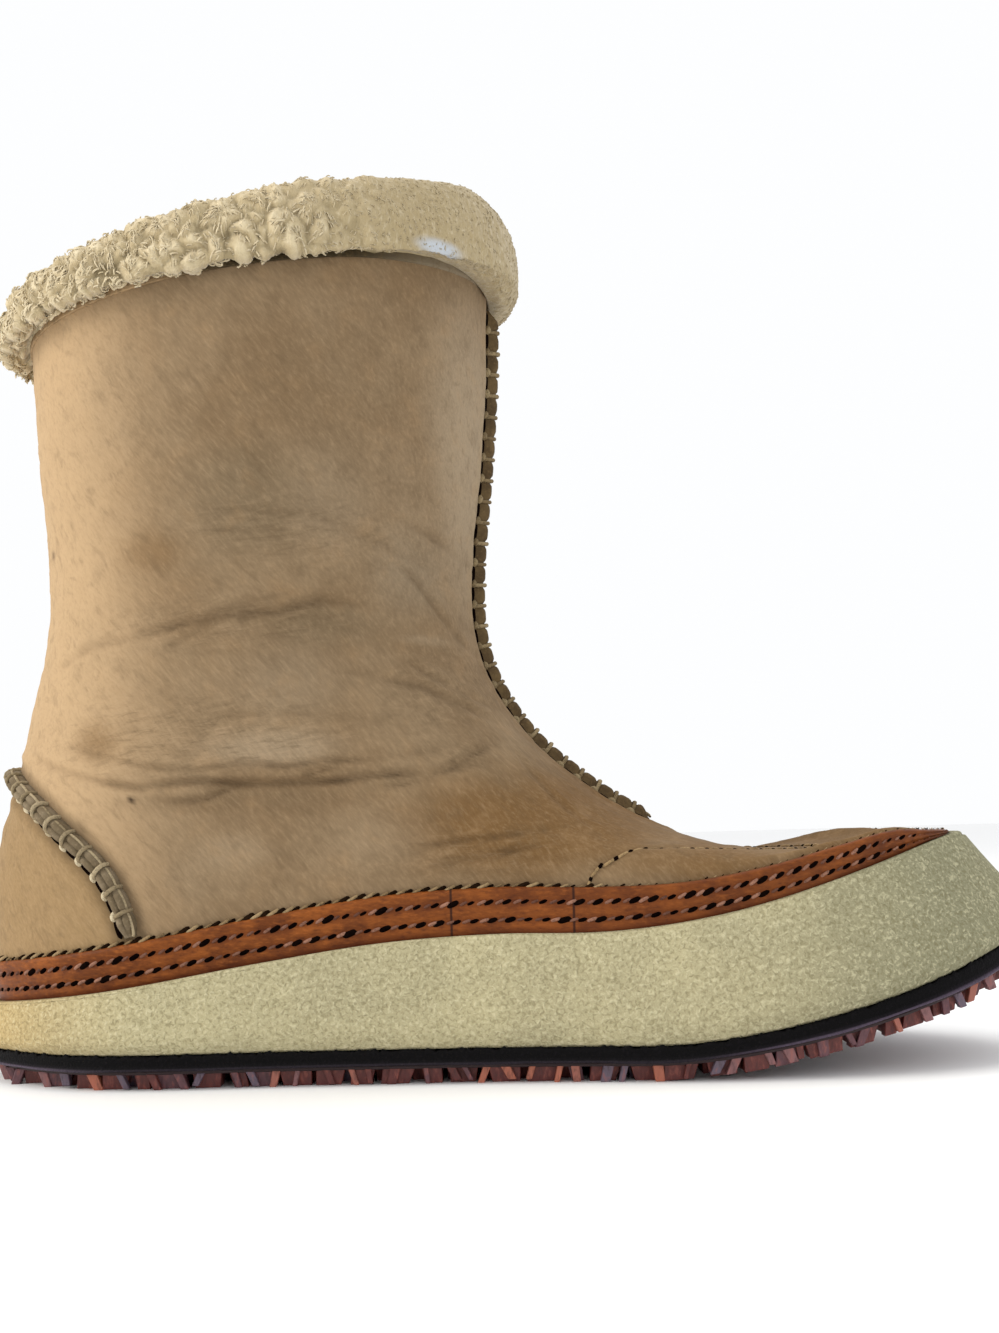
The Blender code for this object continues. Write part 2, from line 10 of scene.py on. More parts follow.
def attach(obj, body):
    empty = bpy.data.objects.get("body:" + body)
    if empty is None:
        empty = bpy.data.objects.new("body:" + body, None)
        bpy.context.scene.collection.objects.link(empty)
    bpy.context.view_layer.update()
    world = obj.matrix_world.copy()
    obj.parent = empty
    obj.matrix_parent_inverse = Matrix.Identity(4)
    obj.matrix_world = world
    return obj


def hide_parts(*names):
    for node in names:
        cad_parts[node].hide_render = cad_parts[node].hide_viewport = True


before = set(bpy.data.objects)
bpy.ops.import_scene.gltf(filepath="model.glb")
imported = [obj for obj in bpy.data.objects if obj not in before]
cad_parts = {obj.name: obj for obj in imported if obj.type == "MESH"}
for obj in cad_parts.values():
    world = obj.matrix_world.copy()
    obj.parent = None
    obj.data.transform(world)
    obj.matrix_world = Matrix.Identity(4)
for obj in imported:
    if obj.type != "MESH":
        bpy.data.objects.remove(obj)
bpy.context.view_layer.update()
scene = bpy.context.scene
print("frame loaded:", ", ".join(sorted(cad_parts)))


def addObject(name, data):
    made = bpy.data.objects.new(name, data)
    scene.collection.objects.link(made)
    return made


# the photo's frame and the camera that matches it
picture = {
    "height": 1333,  # pixels
    "focal": 1530,  # pixels
    "eyeRow": 830,  # the row that lies level with the camera
    "distance": 0.420,  # from the boot's middle
    "eyeHeight": 0.0627,
    "roll": 0.029,  # radians
    "sensor": 36,  # mm along the picture's longer side
}
camera = addObject("camera", bpy.data.cameras.new("camera"))
camera.data.sensor_width = picture["sensor"]
camera.data.lens = picture["focal"] / picture["height"] * picture["sensor"]
camera.data.shift_y = picture["eyeRow"] / picture["height"] - 0.5
camera.location = (0, -picture["distance"], picture["eyeHeight"])
camera.rotation_euler = (math.pi / 2, picture["roll"], 0)
scene.camera = camera

studio = {
    "sky": (0.985, 0.992, 1.0),
    "skyStrength": 1.0,
    "floorColour": (0.92, 0.92, 0.92),
    "floorSize": 24.0,
    "floorRoughness": 0.8,
    "aim": (0.0, 0.0, 0.10),
    # place, width of the soft box, power in watts, colour
    "lamps": {
        "keyLamp": ((-1.35, -0.45, 0.95), 0.8, 16, (1.0, 0.955, 0.88)),
        "fillLamp": ((1.15, -1.0, 0.55), 1.4, 3, (0.92, 0.96, 1.0)),
        "topLamp": ((0.1, 0.3, 1.5), 1.0, 7, (1.0, 0.98, 0.95)),
    },
}


def setStudio():
    world = bpy.data.worlds.new("studio")
    scene.world = world
    scene.view_settings.view_transform = "Standard"
    world.use_nodes = True
    sky = world.node_tree.nodes["Background"]
    sky.inputs["Color"].default_value = (*studio["sky"], 1)
    sky.inputs["Strength"].default_value = studio["skyStrength"]
    for name, (place, size, power, glow) in studio["lamps"].items():
        lamp = addObject(name, bpy.data.lights.new(name, "AREA"))
        lamp.data.size = size
        lamp.data.energy = power
        lamp.data.color = glow
        lamp.location = place
        lamp.rotation_euler = (Vector(studio["aim"]) - lamp.location).to_track_quat("-Z", "Y").to_euler()
    half = studio["floorSize"] / 2
    corners = [(-half, -half, 0), (half, -half, 0), (half, half, 0), (-half, half, 0)]
    floor = addObject("floor", bpy.data.meshes.new("floor"))
    floor.data.from_pydata(corners, [], [(0, 1, 2, 3)])
    material = bpy.data.materials.new("floor")
    material.use_nodes = True
    shader = material.node_tree.nodes["Principled BSDF"]
    shader.inputs["Base Color"].default_value = (*studio["floorColour"], 1)
    shader.inputs["Roughness"].default_value = studio["floorRoughness"]
    floor.data.materials.append(material)


setStudio()
print("camera and studio set")

# the boot's form, as the solids have it
form = {
    "length": 0.284,
    "width": 0.104,  # across the ball
    "collarWidth": 0.100,
    "collarBack": 0.1935,
    "collarFront": 0.2093,
    "gap": 0.0003,
    "lugHeight": 0.0038,
    "treadSheet": 0.0010,
    "outsole": 0.0036,
    "outsoleToe": 0.0058,
    "floor": 0.0085,
    "rim": 0.0590,
    "spring": 0.0257,
    "springStart": 0.125,
    "springCurve": 1.7,
    "bottomTuck": 0.0020,
    "sideTuck": 0.0014,
    "toeTuck": 0.0182,
    "sideWidest": 0.24,
    "toeWidest": 0.05,
    "sideBend": 1.5,
    "toeBend": 1.2,
    "bumperStart": 0.60,
    "bumperCurve": 1.6,
    "rimEdge": 0.0010,
    "wall": 0.0026,
    "featherTuck": 0.0030,
    "rand": 0.0018,
    "randWidth": 0.0115,
    "randTuck": 0.0088,
}

# outline of the sole at equal turns from the heel's back, outer side first: share along, share across
outlineRows = np.array([
    (0.000, 0.00), (0.036, 0.41), (0.140, 0.76), (0.310, 0.84), (0.500, 0.93), (0.680, 1.00),
    (0.840, 0.87), (0.956, 0.50), (1.000, -0.09), (0.965, -0.58), (0.860, -0.92), (0.700, -1.00),
    (0.510, -0.86), (0.320, -0.79), (0.140, -0.75), (0.036, -0.41),
])
# along the sole: share of its length, then shares of the rim and of the rand above and below it
profileRows = np.array([
    (0.00, 0.342, 0.90, 0.12), (0.16, 0.431, 0.94, 0.12), (0.28, 0.524, 0.98, 0.12),
    (0.40, 0.603, 1.00, 0.12), (0.50, 0.628, 0.99, 0.12), (0.59, 0.626, 0.95, 0.12),
    (0.66, 0.661, 0.83, 0.12), (0.73, 0.729, 0.76, 0.12), (0.80, 0.830, 0.67, 0.17),
    (0.85, 0.906, 0.54, 0.35), (0.89, 0.965, 0.22, 0.74), (0.92, 0.993, 0.06, 0.96),
    (1.00, 1.000, 0.05, 1.00),
])
# rings of the upper from the rand to the collar: back and front along the sole, each with its height,
# half width, roundness, and share of the rand's wave
ringRows = np.array([
    (0.0160, 0.0000, 0.9165, 0.0000, 0.869, 0.00, 1.00),
    (0.0140, 0.0750, 0.9050, -0.0010, 0.860, 0.00, 0.94),
    (0.0138, 0.1250, 0.8760, -0.0130, 0.843, 0.00, 0.55),
    (0.0170, 0.1750, 0.8200, -0.0190, 0.824, 0.04, 0.28),
    (0.0230, 0.2250, 0.7550, -0.0180, 0.806, 0.11, 0.12),
    (0.0350, 0.2750, 0.7020, -0.0060, 0.792, 0.21, 0.05),
    (0.0440, 0.3250, 0.6500, 0.0230, 0.790, 0.33, 0.00),
    (0.0500, 0.3700, 0.6080, 0.0650, 0.792, 0.46, 0.00),
    (0.0560, 0.4125, 0.5720, 0.1140, 0.796, 0.59, 0.00),
    (0.0625, 0.4500, 0.5385, 0.1700, 0.800, 0.71, 0.00),
    (0.0685, 0.4875, 0.5130, 0.2310, 0.806, 0.82, 0.00),
    (0.0735, 0.5300, 0.4930, 0.3020, 0.817, 0.91, 0.00),
    (0.0770, 0.5750, 0.4825, 0.3710, 0.842, 0.96, 0.00),
    (0.0775, 0.6400, 0.4800, 0.4460, 0.878, 1.00, 0.00),
    (0.0760, 0.7150, 0.4830, 0.5410, 0.918, 1.00, 0.00),
    (0.0725, 0.8000, 0.4900, 0.6560, 0.957, 1.00, 0.00),
    (0.0695, 0.8900, 0.4975, 0.8126, 0.985, 1.00, 0.00),
    (0.0680, 1.0000, 0.5020, 1.0000, 1.000, 1.00, 0.00),
])
collar = float(len(ringRows))  # the level of the last ring; the rand's top is level 1, the lower edge level 0


def mixed(first, second, share):
    return first + (second - first) * share


def readTable(knots, values, at):  # smooth curve through a table's rows
    knots, values = np.asarray(knots, float), np.asarray(values, float)
    at = np.clip(np.asarray(at, float), knots[0], knots[-1])
    slopes = np.gradient(values, knots)
    row = np.clip(np.searchsorted(knots, at, side="right") - 1, 0, len(knots) - 2)
    step = knots[row + 1] - knots[row]
    t = (at - knots[row]) / step
    start = values[row] * (1 + 2 * t) * (1 - t) ** 2 + slopes[row] * step * t * (1 - t) ** 2
    end = values[row + 1] * t * t * (3 - 2 * t) + slopes[row + 1] * step * t * t * (t - 1)
    return start + end


def outline(u):
    count, margin = len(outlineRows), 3
    knots = np.arange(-margin, count + margin + 1) / count
    points = outlineRows[np.arange(-margin, count + margin + 1) % count]
    turn = np.asarray(u, float) % 1.0
    return readTable(knots, points[:, 0], turn), readTable(knots, points[:, 1], turn)


def profile(column, x):
    return readTable(profileRows[:, 0], profileRows[:, column], np.asarray(x, float) / form["length"] + 0.5)


def toeLift(x):
    start = form["springStart"] * form["length"]
    reach = np.clip((np.asarray(x, float) - start) / (form["length"] / 2 - start), 0, 1)
    return form["spring"] * reach ** form["springCurve"]


def outsoleBottom(x):
    return form["lugHeight"] + form["treadSheet"] + form["gap"] + toeLift(x)


def midsoleBottom(x):
    gain = (form["outsoleToe"] - form["outsole"]) * toeLift(x) / form["spring"]
    return outsoleBottom(x) + form["outsole"] + gain + form["gap"]


def footFloor(x):
    return midsoleBottom(x) + form["floor"]


def rim(x):
    return form["rim"] * profile(1, x)


def randTop(x):
    return rim(x) + form["randWidth"] * profile(2, x)


def randSeat(x):
    return rim(x) - form["randTuck"] * profile(3, x)


def unit(vectors):
    return vectors / np.maximum(np.linalg.norm(vectors, axis=-1, keepdims=True), 1e-12)


def upperSurface(u, v):  # points of the upper's outer face at turn u and level v
    u, v = np.broadcast_arrays(np.asarray(u, float), np.asarray(v, float))
    level = np.clip(v, 1, None)
    levels = np.arange(1, len(ringRows) + 1)
    read = (readTable(levels, column, level) for column in ringRows.T)
    backX, backZ, frontX, frontZ, width, rounding, wave = read
    along, across = outline(u)
    along = along + ((1 - np.cos(2 * math.pi * u)) / 2 - along) * rounding
    across = across + (np.sin(2 * math.pi * u) - across) * rounding
    low = np.clip(1 - v, 0, 1)
    heel = -form["length"] / 2
    half = width * (form["width"] * (1 - rounding) + form["collarWidth"] * rounding) / 2
    x = heel + form["length"] * (backX + along * (frontX - backX))
    x = x + (0.5 - along) * 2 * form["featherTuck"] * low
    y = across * (half - form["featherTuck"] * low)
    heelTop = randTop(heel + form["length"] * ringRows[0, 0])
    toeTop = randTop(heel + form["length"] * ringRows[0, 2])
    back = heelTop + backZ * (form["collarBack"] - heelTop)
    front = toeTop + frontZ * (form["collarFront"] - toeTop)
    z = back + along * (front - back) + wave * (randTop(x) - (heelTop + along * (toeTop - heelTop)))
    bottom = footFloor(x) + form["gap"]
    z = np.where(low > 0, bottom + (randTop(x) - bottom) * (1 - low), z)
    return np.stack([x, y, z], axis=-1)


def upperNormal(u, v):
    u, v = np.broadcast_arrays(np.asarray(u, float), np.asarray(v, float))
    turn, rise = 0.004, 0.04
    around = upperSurface(u + turn, v) - upperSurface(u - turn, v)
    up = upperSurface(u, np.minimum(v + rise, collar)) - upperSurface(u, np.maximum(v - rise, 0))
    return unit(np.cross(up, around))


def besideUpper(u, v, distance, height=None):  # level with the upper at v, a distance outside it
    around = upperSurface(u + 0.004, v) - upperSurface(u - 0.004, v)
    out = np.stack([-around[..., 1], around[..., 0], np.zeros(around.shape[:-1])], axis=-1)
    points = upperSurface(u, v) + distance * unit(out)
    if height is not None:
        points[..., 2] = height(points[..., 0])
    return points


def levelOf(u, height):  # the level below the rand's top where the wall reaches a height
    x = upperSurface(u, 1.0)[..., 0]
    bottom = footFloor(x) + form["gap"]
    return np.clip((height(x) - bottom) / (randTop(x) - bottom), 0, 1)


def levelAboveRand(u, rise):
    levels = np.linspace(1, collar, 300)
    heights = upperSurface(u, levels)[:, 2]
    return float(np.interp(heights[0] + rise, heights, levels))


def soleWall(u, height):  # the midsole's outer wall from its foot (0) to its rim (1)
    along, across = outline(u)
    ahead, behind = outline(np.asarray(u) + 0.002), outline(np.asarray(u) - 0.002)
    turnX, turnY = (ahead[0] - behind[0]) * form["length"], (ahead[1] - behind[1]) * form["width"] / 2
    inward = unit(np.stack([turnY, -turnX], axis=-1))
    toe = np.clip((along - form["bumperStart"]) / (1 - form["bumperStart"]), 0, 1)
    rimTuck = mixed(form["sideTuck"], form["toeTuck"], toe ** form["bumperCurve"])
    widest = mixed(form["sideWidest"], form["toeWidest"], toe)
    bend = mixed(form["sideBend"], form["toeBend"], toe)
    below = np.clip(1 - height / widest, 0, 1)
    above = np.clip((height - widest) / (1 - widest), 0, 1)
    tuck = form["bottomTuck"] * below**2 + rimTuck * above**bend
    x = form["length"] * (along - 0.5) + inward[..., 0] * tuck
    y = form["width"] / 2 * across + inward[..., 1] * tuck
    z = midsoleBottom(x) + height * (rim(x) - midsoleBottom(x))
    return np.stack([x, y, z], axis=-1)


def pushed(ring, distance, height):  # a closed ring moved sideways and set to a height along the sole
    around = np.roll(ring, -1, axis=0) - np.roll(ring, 1, axis=0)
    moved = ring + distance * unit(np.stack([-around[:, 1], around[:, 0], np.zeros(len(ring))], axis=-1))
    moved[:, 2] = height(moved[:, 0])
    return moved


def turns(count):
    return np.arange(count) / count


def softStep(value, low, high):  # 0 below low, 1 above high, smooth between
    t = np.clip((value - low) / (high - low), 0, 1)
    return t * t * (3 - 2 * t)


def crumple(points, size, octaves=3, seed=0.0):  # smooth noise of a given grain size at many points
    shift = Vector((seed, seed * 1.7, seed * 0.3))
    return np.array([noise.fractal(Vector(p) / size + shift, 0.8, 2.0, octaves) for p in points])


def ringMesh(name, rings, capped=False, closed=False):  # joins closed rings of points into a skin
    count, last = len(rings[0]), (len(rings) - 1) * len(rings[0])
    i = np.arange(count)
    j = (i + 1) % count
    faces = []
    for k in range(len(rings) if closed else len(rings) - 1):
        low, high = k * count, (k + 1) % len(rings) * count
        faces += np.stack([low + i, low + j, high + j, high + i], axis=1).tolist()
    if capped:  # by strips from side to side, or in one face where a ring has an odd count
        strips = [(0, 1, count - 1), (count // 2 - 1, count // 2, count // 2 + 1)]
        strips += [(a, a + 1, count - a - 1, count - a) for a in range(1, count // 2 - 1)]
        if count % 2:
            strips = [tuple(range(count))]
        faces += [strip[::-1] for strip in strips] + [tuple(last + a for a in strip) for strip in strips]
    mesh = bpy.data.meshes.new(name)
    mesh.from_pydata(np.concatenate(rings).tolist(), [], faces)
    mesh.validate()
    work = bmesh.new()
    work.from_mesh(mesh)
    bmesh.ops.recalc_face_normals(work, faces=work.faces)
    work.to_mesh(mesh)
    work.free()
    mesh.shade_smooth()
    return addObject(name, mesh)


def setAttribute(piece, name, values):  # one value a point; the points after the last value get 0
    padded = np.zeros(len(piece.data.vertices), np.float32)
    padded[: len(values)] = values
    piece.data.attributes.new(name, "FLOAT", "POINT").data.foreach_set("value", padded)


def dress(piece, material, slot, *replaced):  # the finish and the body of a new piece; the slot is not used
    if material:
        piece.data.materials.clear()
        piece.data.materials.append(material)
    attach(piece, "root")
    if replaced:
        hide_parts(*replaced)


class Wire:  # one output socket of a node; operators add Math nodes
    def __init__(self, socket):
        self.socket = socket

    def node(self, kind, settings=None, sockets=None, output=0):
        tree = self.socket.id_data
        made = tree.nodes.new(kind)
        for key, value in (settings or {}).items():
            setattr(made, key, value)
        for key, value in (sockets or {}).items():
            if isinstance(value, Wire):
                tree.links.new(value.socket, made.inputs[key])
            else:
                made.inputs[key].default_value = value
        return Wire(made.outputs[output])

    def math(self, operation, *values):
        return self.node("ShaderNodeMath", {"operation": operation}, dict(enumerate(values)))

    def __add__(self, other):
        return self.math("ADD", self, other)

    def __radd__(self, other):
        return self.math("ADD", other, self)

    def __sub__(self, other):
        return self.math("SUBTRACT", self, other)

    def __rsub__(self, other):
        return self.math("SUBTRACT", other, self)

    def __mul__(self, other):
        return self.math("MULTIPLY", self, other)

    def __rmul__(self, other):
        return self.math("MULTIPLY", other, self)


def startMaterial(name, roughness, specular=0.5, sheen=0.0):
    material = bpy.data.materials.new(name)
    material.use_nodes = True
    shader = material.node_tree.nodes["Principled BSDF"]
    shader.inputs["Roughness"].default_value = roughness
    shader.inputs["Specular IOR Level"].default_value = specular
    shader.inputs["Sheen Weight"].default_value = sheen
    return material, Wire(material.node_tree.nodes.new("ShaderNodeTexCoord").outputs["Object"])


def finished(material, base, bump=None, roughness=None):
    tree = material.node_tree
    for name, wire in (("Base Color", base), ("Normal", bump), ("Roughness", roughness)):
        if wire:
            tree.links.new(wire.socket, tree.nodes["Principled BSDF"].inputs[name])
    return material


def grain(place, size, detail=3.0, roughness=0.55, distortion=0.0):  # noise with grains of a size in metres
    sockets = {"Vector": place, "Scale": 1 / size, "Detail": detail}
    sockets.update({"Roughness": roughness, "Distortion": distortion})
    return place.node("ShaderNodeTexNoise", {}, sockets)


def ramp(value, low, high):  # a smooth 0 to 1 between two values
    settings = {"interpolation_type": "SMOOTHSTEP"}
    return value.node("ShaderNodeMapRange", settings, {"Value": value, "From Min": low, "From Max": high})


def blendColour(factor, first, second):
    wire = next(item for item in (factor, first, second) if isinstance(item, Wire))
    pad = [item if isinstance(item, Wire) else (*item, 1) for item in (first, second)]
    return wire.node("ShaderNodeMix", {"data_type": "RGBA"}, {0: factor, 6: pad[0], 7: pad[1]}, 2)


def layered(base, layers):  # colours laid over each other, each where its mask shows it
    for mask, tint in layers:
        base = blendColour(mask, base, colour(*tint))
    return base


def turned(place, turn, scale):
    return place.node("ShaderNodeMapping", {}, {"Vector": place, "Rotation": turn, "Scale": scale})


def slanted(place, angle, stretch):  # leans the upright of a pattern towards +X by an angle and draws it out
    sockets = {"Vector": place, "Rotation": (0, angle, 0), "Scale": (1, 1, stretch)}
    return place.node("ShaderNodeMapping", {"vector_type": "TEXTURE"}, sockets)


def axisOf(place, axis):
    return place.node("ShaderNodeSeparateXYZ", {}, {0: place}, axis)


def marked(place, name):  # a piece's own attribute
    return place.node("ShaderNodeAttribute", {"attribute_name": name}, {}, "Fac")


def raised(height, depth, under=None, strength=1.0):  # a bump of a depth in metres
    sockets = {"Height": height, "Distance": depth, "Strength": strength}
    if under:
        sockets["Normal"] = under
    return height.node("ShaderNodeBump", {}, sockets)


def colour(*parts):  # from values of 0 to 255, as a screen shows them
    return tuple(((c / 255 + 0.055) / 1.055) ** 2.4 if c > 10 else c / 255 / 12.92 for c in parts)


print("form and tools ready")

# the nubuck upper, one hollow wall with its creases
leather = {
    "columns": 360,
    "rows": 215,
    "liningRows": 40,
    "slack": 0.0007,  # slow waves of the soft leather
    "slackSize": 0.038,
    "wrinkle": 0.00022,
    "wrinkleSize": 0.007,
    "roll": 0.0007,  # how far the leather swells beside a raised seam
    "rollAway": 0.0062,
    "toeGroove": 0.0004,
    "light": (131, 110, 83),
    "dark": (119, 97, 70),
}
# creases, each with side (-1 inner, 1 outer, 0 both), width and depth in mm, the height of the roll above it,
# and its points in mm from the heel's end and from the floor
creases = (
    (0, 1.7, 1.2, 0.6, (
        (22, 84), (30, 81), (40, 78), (51, 76), (62, 77), (82, 76), (99, 76), (114, 77), (129, 78), (140, 80),
    )),
    (0, 1.4, 0.6, 0.4, (
        (28, 88), (42, 84), (54, 81), (66, 80), (80, 81), (91, 80), (99, 81), (107, 81), (121, 82), (133, 85),
    )),
    (-1, 1.4, 0.7, 0.4, ((55, 73), (61, 72), (70, 73), (75, 75), (82, 76))),
    (-1, 1.3, 0.6, 0.4, ((91, 76), (99, 79), (107, 79))),
    (0, 1.5, 0.7, 0.4, ((112, 74), (121, 75), (131, 79), (143, 86))),
    (0, 1.8, 0.7, 0.5, ((30, 108), (39, 112), (49, 113), (60, 115), (70, 117), (84, 121), (92, 123))),
    (0, 1.9, 0.8, 0.5, (
        (62, 111), (66, 113), (73, 117), (81, 118), (89, 118), (95, 120), (103, 121), (112, 120),
    )),
    (0, 1.2, 0.35, 0.2, ((70, 144), (80, 143), (88, 142), (97, 142), (104, 143))),
    (0, 1.2, 0.35, 0.2, ((72, 138), (85, 137), (94, 137), (101, 138))),
    (0, 1.1, 0.25, 0.2, ((76, 133), (86, 132), (97, 133))),
    (0, 1.8, 0.5, 0.3, ((98, 141), (108, 138), (117, 134), (124, 130))),
    (0, 1.8, 0.6, 0.3, ((115, 143), (121, 141), (129, 137), (136, 133))),
    (0, 1.7, 0.6, 0.3, ((118, 131), (124, 125), (129, 118), (136, 110))),
    (0, 2.0, 0.8, 0.5, ((106, 103), (114, 101), (122, 100), (131, 96), (142, 91))),
    (0, 1.8, 0.6, 0.4, ((120, 106), (126, 102), (134, 98), (142, 95))),
    (0, 1.5, 0.4, 0.3, ((60, 95), (75, 93), (90, 93), (104, 92), (116, 90))),
    (-1, 1.6, 0.5, 0.3, ((113, 49), (121, 52), (133, 55), (145, 57), (156, 59))),
    (-1, 1.5, 0.4, 0.3, ((121, 58), (132, 60), (143, 61), (156, 63))),
    (0, 1.7, 0.5, 0.3, ((146, 84), (152, 76), (158, 69), (166, 62))),
)
# stains, patches of painted shade and places where the leather ripples: kind, middle in mm from the heel's
# end and the floor, half length and half height in mm, strength
stainsAndShade = (
    ("brown", 96, 177, 27, 15, 0.45),
    ("brown", 103, 162, 15, 7, 0.5),
    ("brown", 78, 72, 27, 3.4, 0.9),
    # painted shade beside the front seam, laid in as a brown patch
    ("brown", 135, 95, 10, 10, 0.3),
    ("shade", 83, 145, 17, 15, 0.6),
    ("shade", 99, 115, 17, 7, 0.5),
    ("shade", 32, 66, 7, 3.7, 0.4),
    ("grey", 102, 145, 12, 15, 0.5),
    ("grey", 121, 129, 11, 12, 0.7),
    ("grey", 91, 101, 17, 12, 0.5),
    ("grey", 63, 53, 7, 7, 0.3),
    ("pale", 86, 85, 20, 5.4, 0.6),
    ("pale", 112, 61, 17, 8.6, 0.3),
    ("pale", 122, 150, 14, 18, 0.3),
    ("pale", 74, 59, 10, 5, 0.4),
    ("pale", 138, 160, 12, 45, 0.8),
    ("pale", 125, 112, 8, 1.6, 0.4),
    ("ochre", 156, 65, 39, 15, 0.95),
    ("ochre", 190, 54, 29, 7, 0.7),
    ("ochre", 230, 57, 30, 9, 0.7),
    ("ochre", 40, 88, 7, 6, 0.5),
    ("ochre", 58, 134, 11, 6, 0.4),
    ("ripple", 66, 88, 42, 11, 1.0),
    ("ripple", 78, 116, 32, 7, 0.8),
    ("ripple", 92, 138, 26, 8, 0.8),
    ("ripple", 128, 100, 16, 14, 0.7),
    ("ripple", 138, 57, 24, 8, 0.6),
    ("spot", 49, 73, 1.1, 0.8, 1.0),
    ("spot", 27, 138, 0.8, 1.2, 0.6),
)
stainAndShadeKinds = ("brown", "shade", "grey", "pale", "ochre", "spot", "ripple")
# raised seams; the counter's on one side, by turn and by height above the rand as a share of the heel's
frontSeamEnd = 7.15
counterRows = np.array([
    (0.000, 0.305), (0.037, 0.295), (0.068, 0.266), (0.096, 0.226), (0.114, 0.186),
    (0.125, 0.150), (0.132, 0.112), (0.135, 0.074), (0.137, 0.037), (0.138, 0.010),
])
# the stitched toe seam on the inner side, in mm from the heel's end, across and up
toeSeamKnots = (
    (163, -44, 47), (163.5, -44, 49), (165, -43.5, 51.5), (169, -43, 54), (177, -41, 56.5),
    (186, -39, 57.3), (195, -35.5, 57.6), (204, -31, 57.4), (213, -25.5, 57.6), (221, -19, 57.8),
    (228, -11, 58), (231, 0, 58.2),
)


def frontPath(count):  # turns and levels down the front seam
    levels = np.linspace(frontSeamEnd, collar, 400)
    below = form["collarFront"] - upperSurface(0.5, levels)[:, 2]
    top = np.interp(-0.0045, -below, levels)
    return np.full(count, 0.5), np.linspace(frontSeamEnd, top, count)


def counterPath(count):
    reach = form["collarBack"] - randTop(-form["length"] / 2)
    side = [(u, levelAboveRand(u, rise * reach)) for u, rise in counterRows]
    other = [(-u, levelAboveRand(-u, rise * reach)) for u, rise in counterRows[:0:-1]]
    knots = np.array(other + side)
    at = np.linspace(0, len(knots) - 1, count)
    return tuple(readTable(np.arange(len(knots)), column, at) for column in knots.T)


def toePath(step):  # points of the toe seam, on the leather's plain surface
    inner = np.array(toeSeamKnots, float)
    knots = np.concatenate([inner, inner[-2::-1] * (1, -1, 1)]) / 1000
    knots[:, 0] -= form["length"] / 2
    path = smoothPath(knots, step)
    u, v = np.meshgrid(np.linspace(0.2, 0.8, 700), np.linspace(1.0, 8.0, 400))
    grid, out = upperSurface(u, v).reshape(-1, 3), upperNormal(u, v).reshape(-1, 3)
    tree = treeOf(grid)
    found = [tree.find(Vector(point))[1] for point in path]
    place, facing = grid[found], out[found]
    for _ in range(3):
        place[1:-1] = (place[:-2] + place[1:-1] * 2 + place[2:]) / 4
    return place, facing


def treeOf(points):
    tree = kdtree.KDTree(len(points))
    for i, point in enumerate(points):
        tree.insert(Vector(point), i)
    tree.balance()
    return tree


def distanceTo(points, path):
    tree = treeOf(path)
    return np.array([tree.find(Vector(point))[2] for point in points])


def leatherRows(count, lowest, highest):  # levels at about equal steps over the leather
    fine = np.linspace(lowest, highest, 600)
    points = upperSurface(np.array([0, 0.2, 0.35, 0.5, 0.65, 0.8])[:, None], fine[None, :])
    steps = np.linalg.norm(np.diff(points, axis=1), axis=2).mean(axis=0)
    reach = np.concatenate([[0], np.cumsum(steps)])
    return np.interp(np.linspace(0, reach[-1], count), reach, fine)


def smoothPath(points, step):  # a smooth line through a few points, at even steps
    points = np.asarray(points, float)
    knots = np.concatenate([[0], np.cumsum(np.linalg.norm(np.diff(points, axis=0), axis=1))])
    at = np.linspace(0, knots[-1], max(3, int(knots[-1] / step) + 1))
    return np.stack([readTable(knots, column, at) for column in points.T], axis=1)


def creaseRelief(points):  # how far each point of the leather sinks or rises, and the painted shade in its crease troughs
    relief, creaseShade = np.zeros(len(points)), np.zeros(len(points))
    for side, width, depth, roll, places in creases:
        width, depth, roll = width / 1000, depth / 1000, roll / 1000
        for facing in (-1, 1):
            if side in (0, facing):
                path = smoothPath(places, 0.5) / 1000
                path[:, 0] -= form["length"] / 2
                facingSide = np.flatnonzero(points[:, 1] * facing > -0.001)
                shell = points[facingSide]
                middle = []
                for x, z in path:
                    middle.append(shell[np.argmin((shell[:, 0] - x) ** 2 + (shell[:, 2] - z) ** 2)])
                middle = np.array(middle)
                for _ in range(12):
                    middle[1:-1] = (middle[:-2] + middle[1:-1] * 2 + middle[2:]) / 4
                margin = 6 * width
                within = (points > middle.min(0) - margin) & (points < middle.max(0) + margin)
                near = np.flatnonzero(within.all(axis=1))
                apart = points[near][:, None, :] - middle[None, :, :]
                distance = np.linalg.norm(apart, axis=2)
                nearest = distance.argmin(axis=1)
                reach = distance[np.arange(len(near)), nearest]
                above = apart[np.arange(len(near)), nearest, 2]
                share = nearest / (len(middle) - 1)
                fade = np.sin(math.pi * np.clip(share, 0.02, 0.98)) ** 0.45
                uneven = crumple(middle, 0.009, 2, width * 9000)[nearest]
                strength = fade * (1.0 if facing < 0 else 0.8) * np.clip(1 + uneven * 0.9, 0.3, 1.5)
                trough = np.exp(-((reach / (width * 0.55)) ** 2))
                crest = np.exp(-(((reach - width * 1.25) / (width * 0.75)) ** 2))
                crest *= 0.55 + 0.45 * np.sign(above)
                relief[near] += strength * (roll * crest - depth * trough)
                creaseShade[near] = np.maximum(creaseShade[near], strength * trough * min(1, depth / 0.0010))
    return relief, creaseShade


